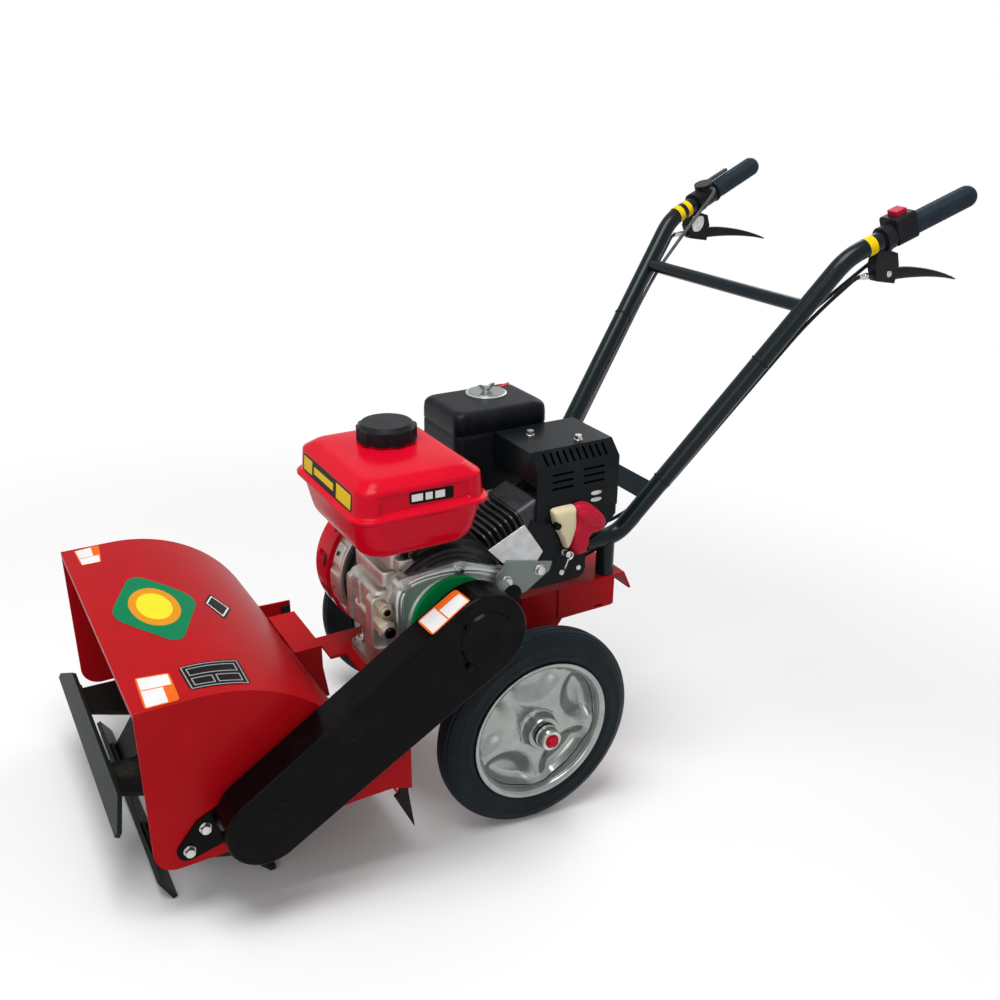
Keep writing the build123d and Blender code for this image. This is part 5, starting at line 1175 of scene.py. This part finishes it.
class WEEDER_OT_cable_trim(bpy.types.Operator):
    """Ferrules and a clasp at the levers, bright ovals of painted highlight at the muffler's outlet and ties round
    the cables
    """

    bl_idname = "weeder.cable_trim"
    bl_label = "Cable trim"

    def execute(self, context):
        steel = look("bolt steel")
        ferrule = [(2.6, 0), (4.6, 0), (4.9, 0.4), (4.9, 6), (4.0, 7), (4.0, 15), (3.4, 16.4), (2.6, 16.4),
                   (2.6, 0)]
        ferrules = [turned(ferrule, spot(-546.2, sign * LEVER_Y, 729), way(1, 0, 0), 32) for _, sign in SIDES]
        fitted("ferrules", joined(ferrules), steel, "galvanised")
        clasp = [(-563, 758), (-575, 759), (-586, 757), (-588, 745), (-580, 733), (-567, 733), (-561, 745)]
        fitted("lever_clasps", pillow(clasp, -201.9, 2.6, 0.2), steel, "galvanised")
        # two bright steel ovals at the muffler's outlet are painted highlights
        outlets = [oval(spot(-114, 174.6, z), OUT, 9, 3.2, 0.9) for z in (467, 457)]
        fitted("outlet_highlights", joined(outlets), steel, "galvanised")
        tube, (foot, head) = HANDLE["radius"], (HANDLE[place][2] for place in ("low", "high"))
        ties = []
        for _, sign in SIDES:
            low, high, heading = handle_run(sign, "low", "high")
            for height in (440, 611):
                centre = low + (high - low) * (height - foot) / (head - foot)
                ties.append(ring_band(centre, heading, tube - 0.4, tube + 1.1, -1.8, 1.8))
        fitted("cable_ties", joined(ties), look("control black"), "control_black")
        return {"FINISHED"}


class WEEDER_PT_panel(bpy.types.Panel):
    """Settings and steps of the power weeder"""

    bl_idname = "WEEDER_PT_panel"
    bl_label = "Power Weeder"
    bl_space_type = "VIEW_3D"
    bl_region_type = "UI"
    bl_category = "Weeder"

    def draw(self, context):
        for settings in (context.scene.weeder_stage, context.scene.weeder_paint):
            for name in type(settings).__annotations__:
                self.layout.prop(settings, name)
        for step in STEPS:
            self.layout.operator(step.bl_idname)


STEPS = (WEEDER_OT_stage, WEEDER_OT_finishes, WEEDER_OT_tank, WEEDER_OT_tyres, WEEDER_OT_rims,
         WEEDER_OT_levers, WEEDER_OT_plug, WEEDER_OT_engine_trim, WEEDER_OT_bolts, WEEDER_OT_labels,
         WEEDER_OT_cable_trim)
CLASSES = (WeederPaint, WeederStage, *STEPS, WEEDER_PT_panel)


def register():
    for entry in CLASSES:
        bpy.utils.register_class(entry)
    bpy.types.Scene.weeder_paint = PointerProperty(type=WeederPaint)
    bpy.types.Scene.weeder_stage = PointerProperty(type=WeederStage)


def unregister():
    del bpy.types.Scene.weeder_stage
    del bpy.types.Scene.weeder_paint
    for entry in reversed(CLASSES):
        bpy.utils.unregister_class(entry)


def main():
    """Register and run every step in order."""
    register()
    for step in STEPS:
        group, name = step.bl_idname.split(".")
        getattr(getattr(bpy.ops, group), name)()
    plain = lambda box: [[float(value) for value in corner] for corner in box]
    {"cad": plain(CAD_BOX), "dressed": plain(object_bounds())}


if __name__ == "__main__":
    main()
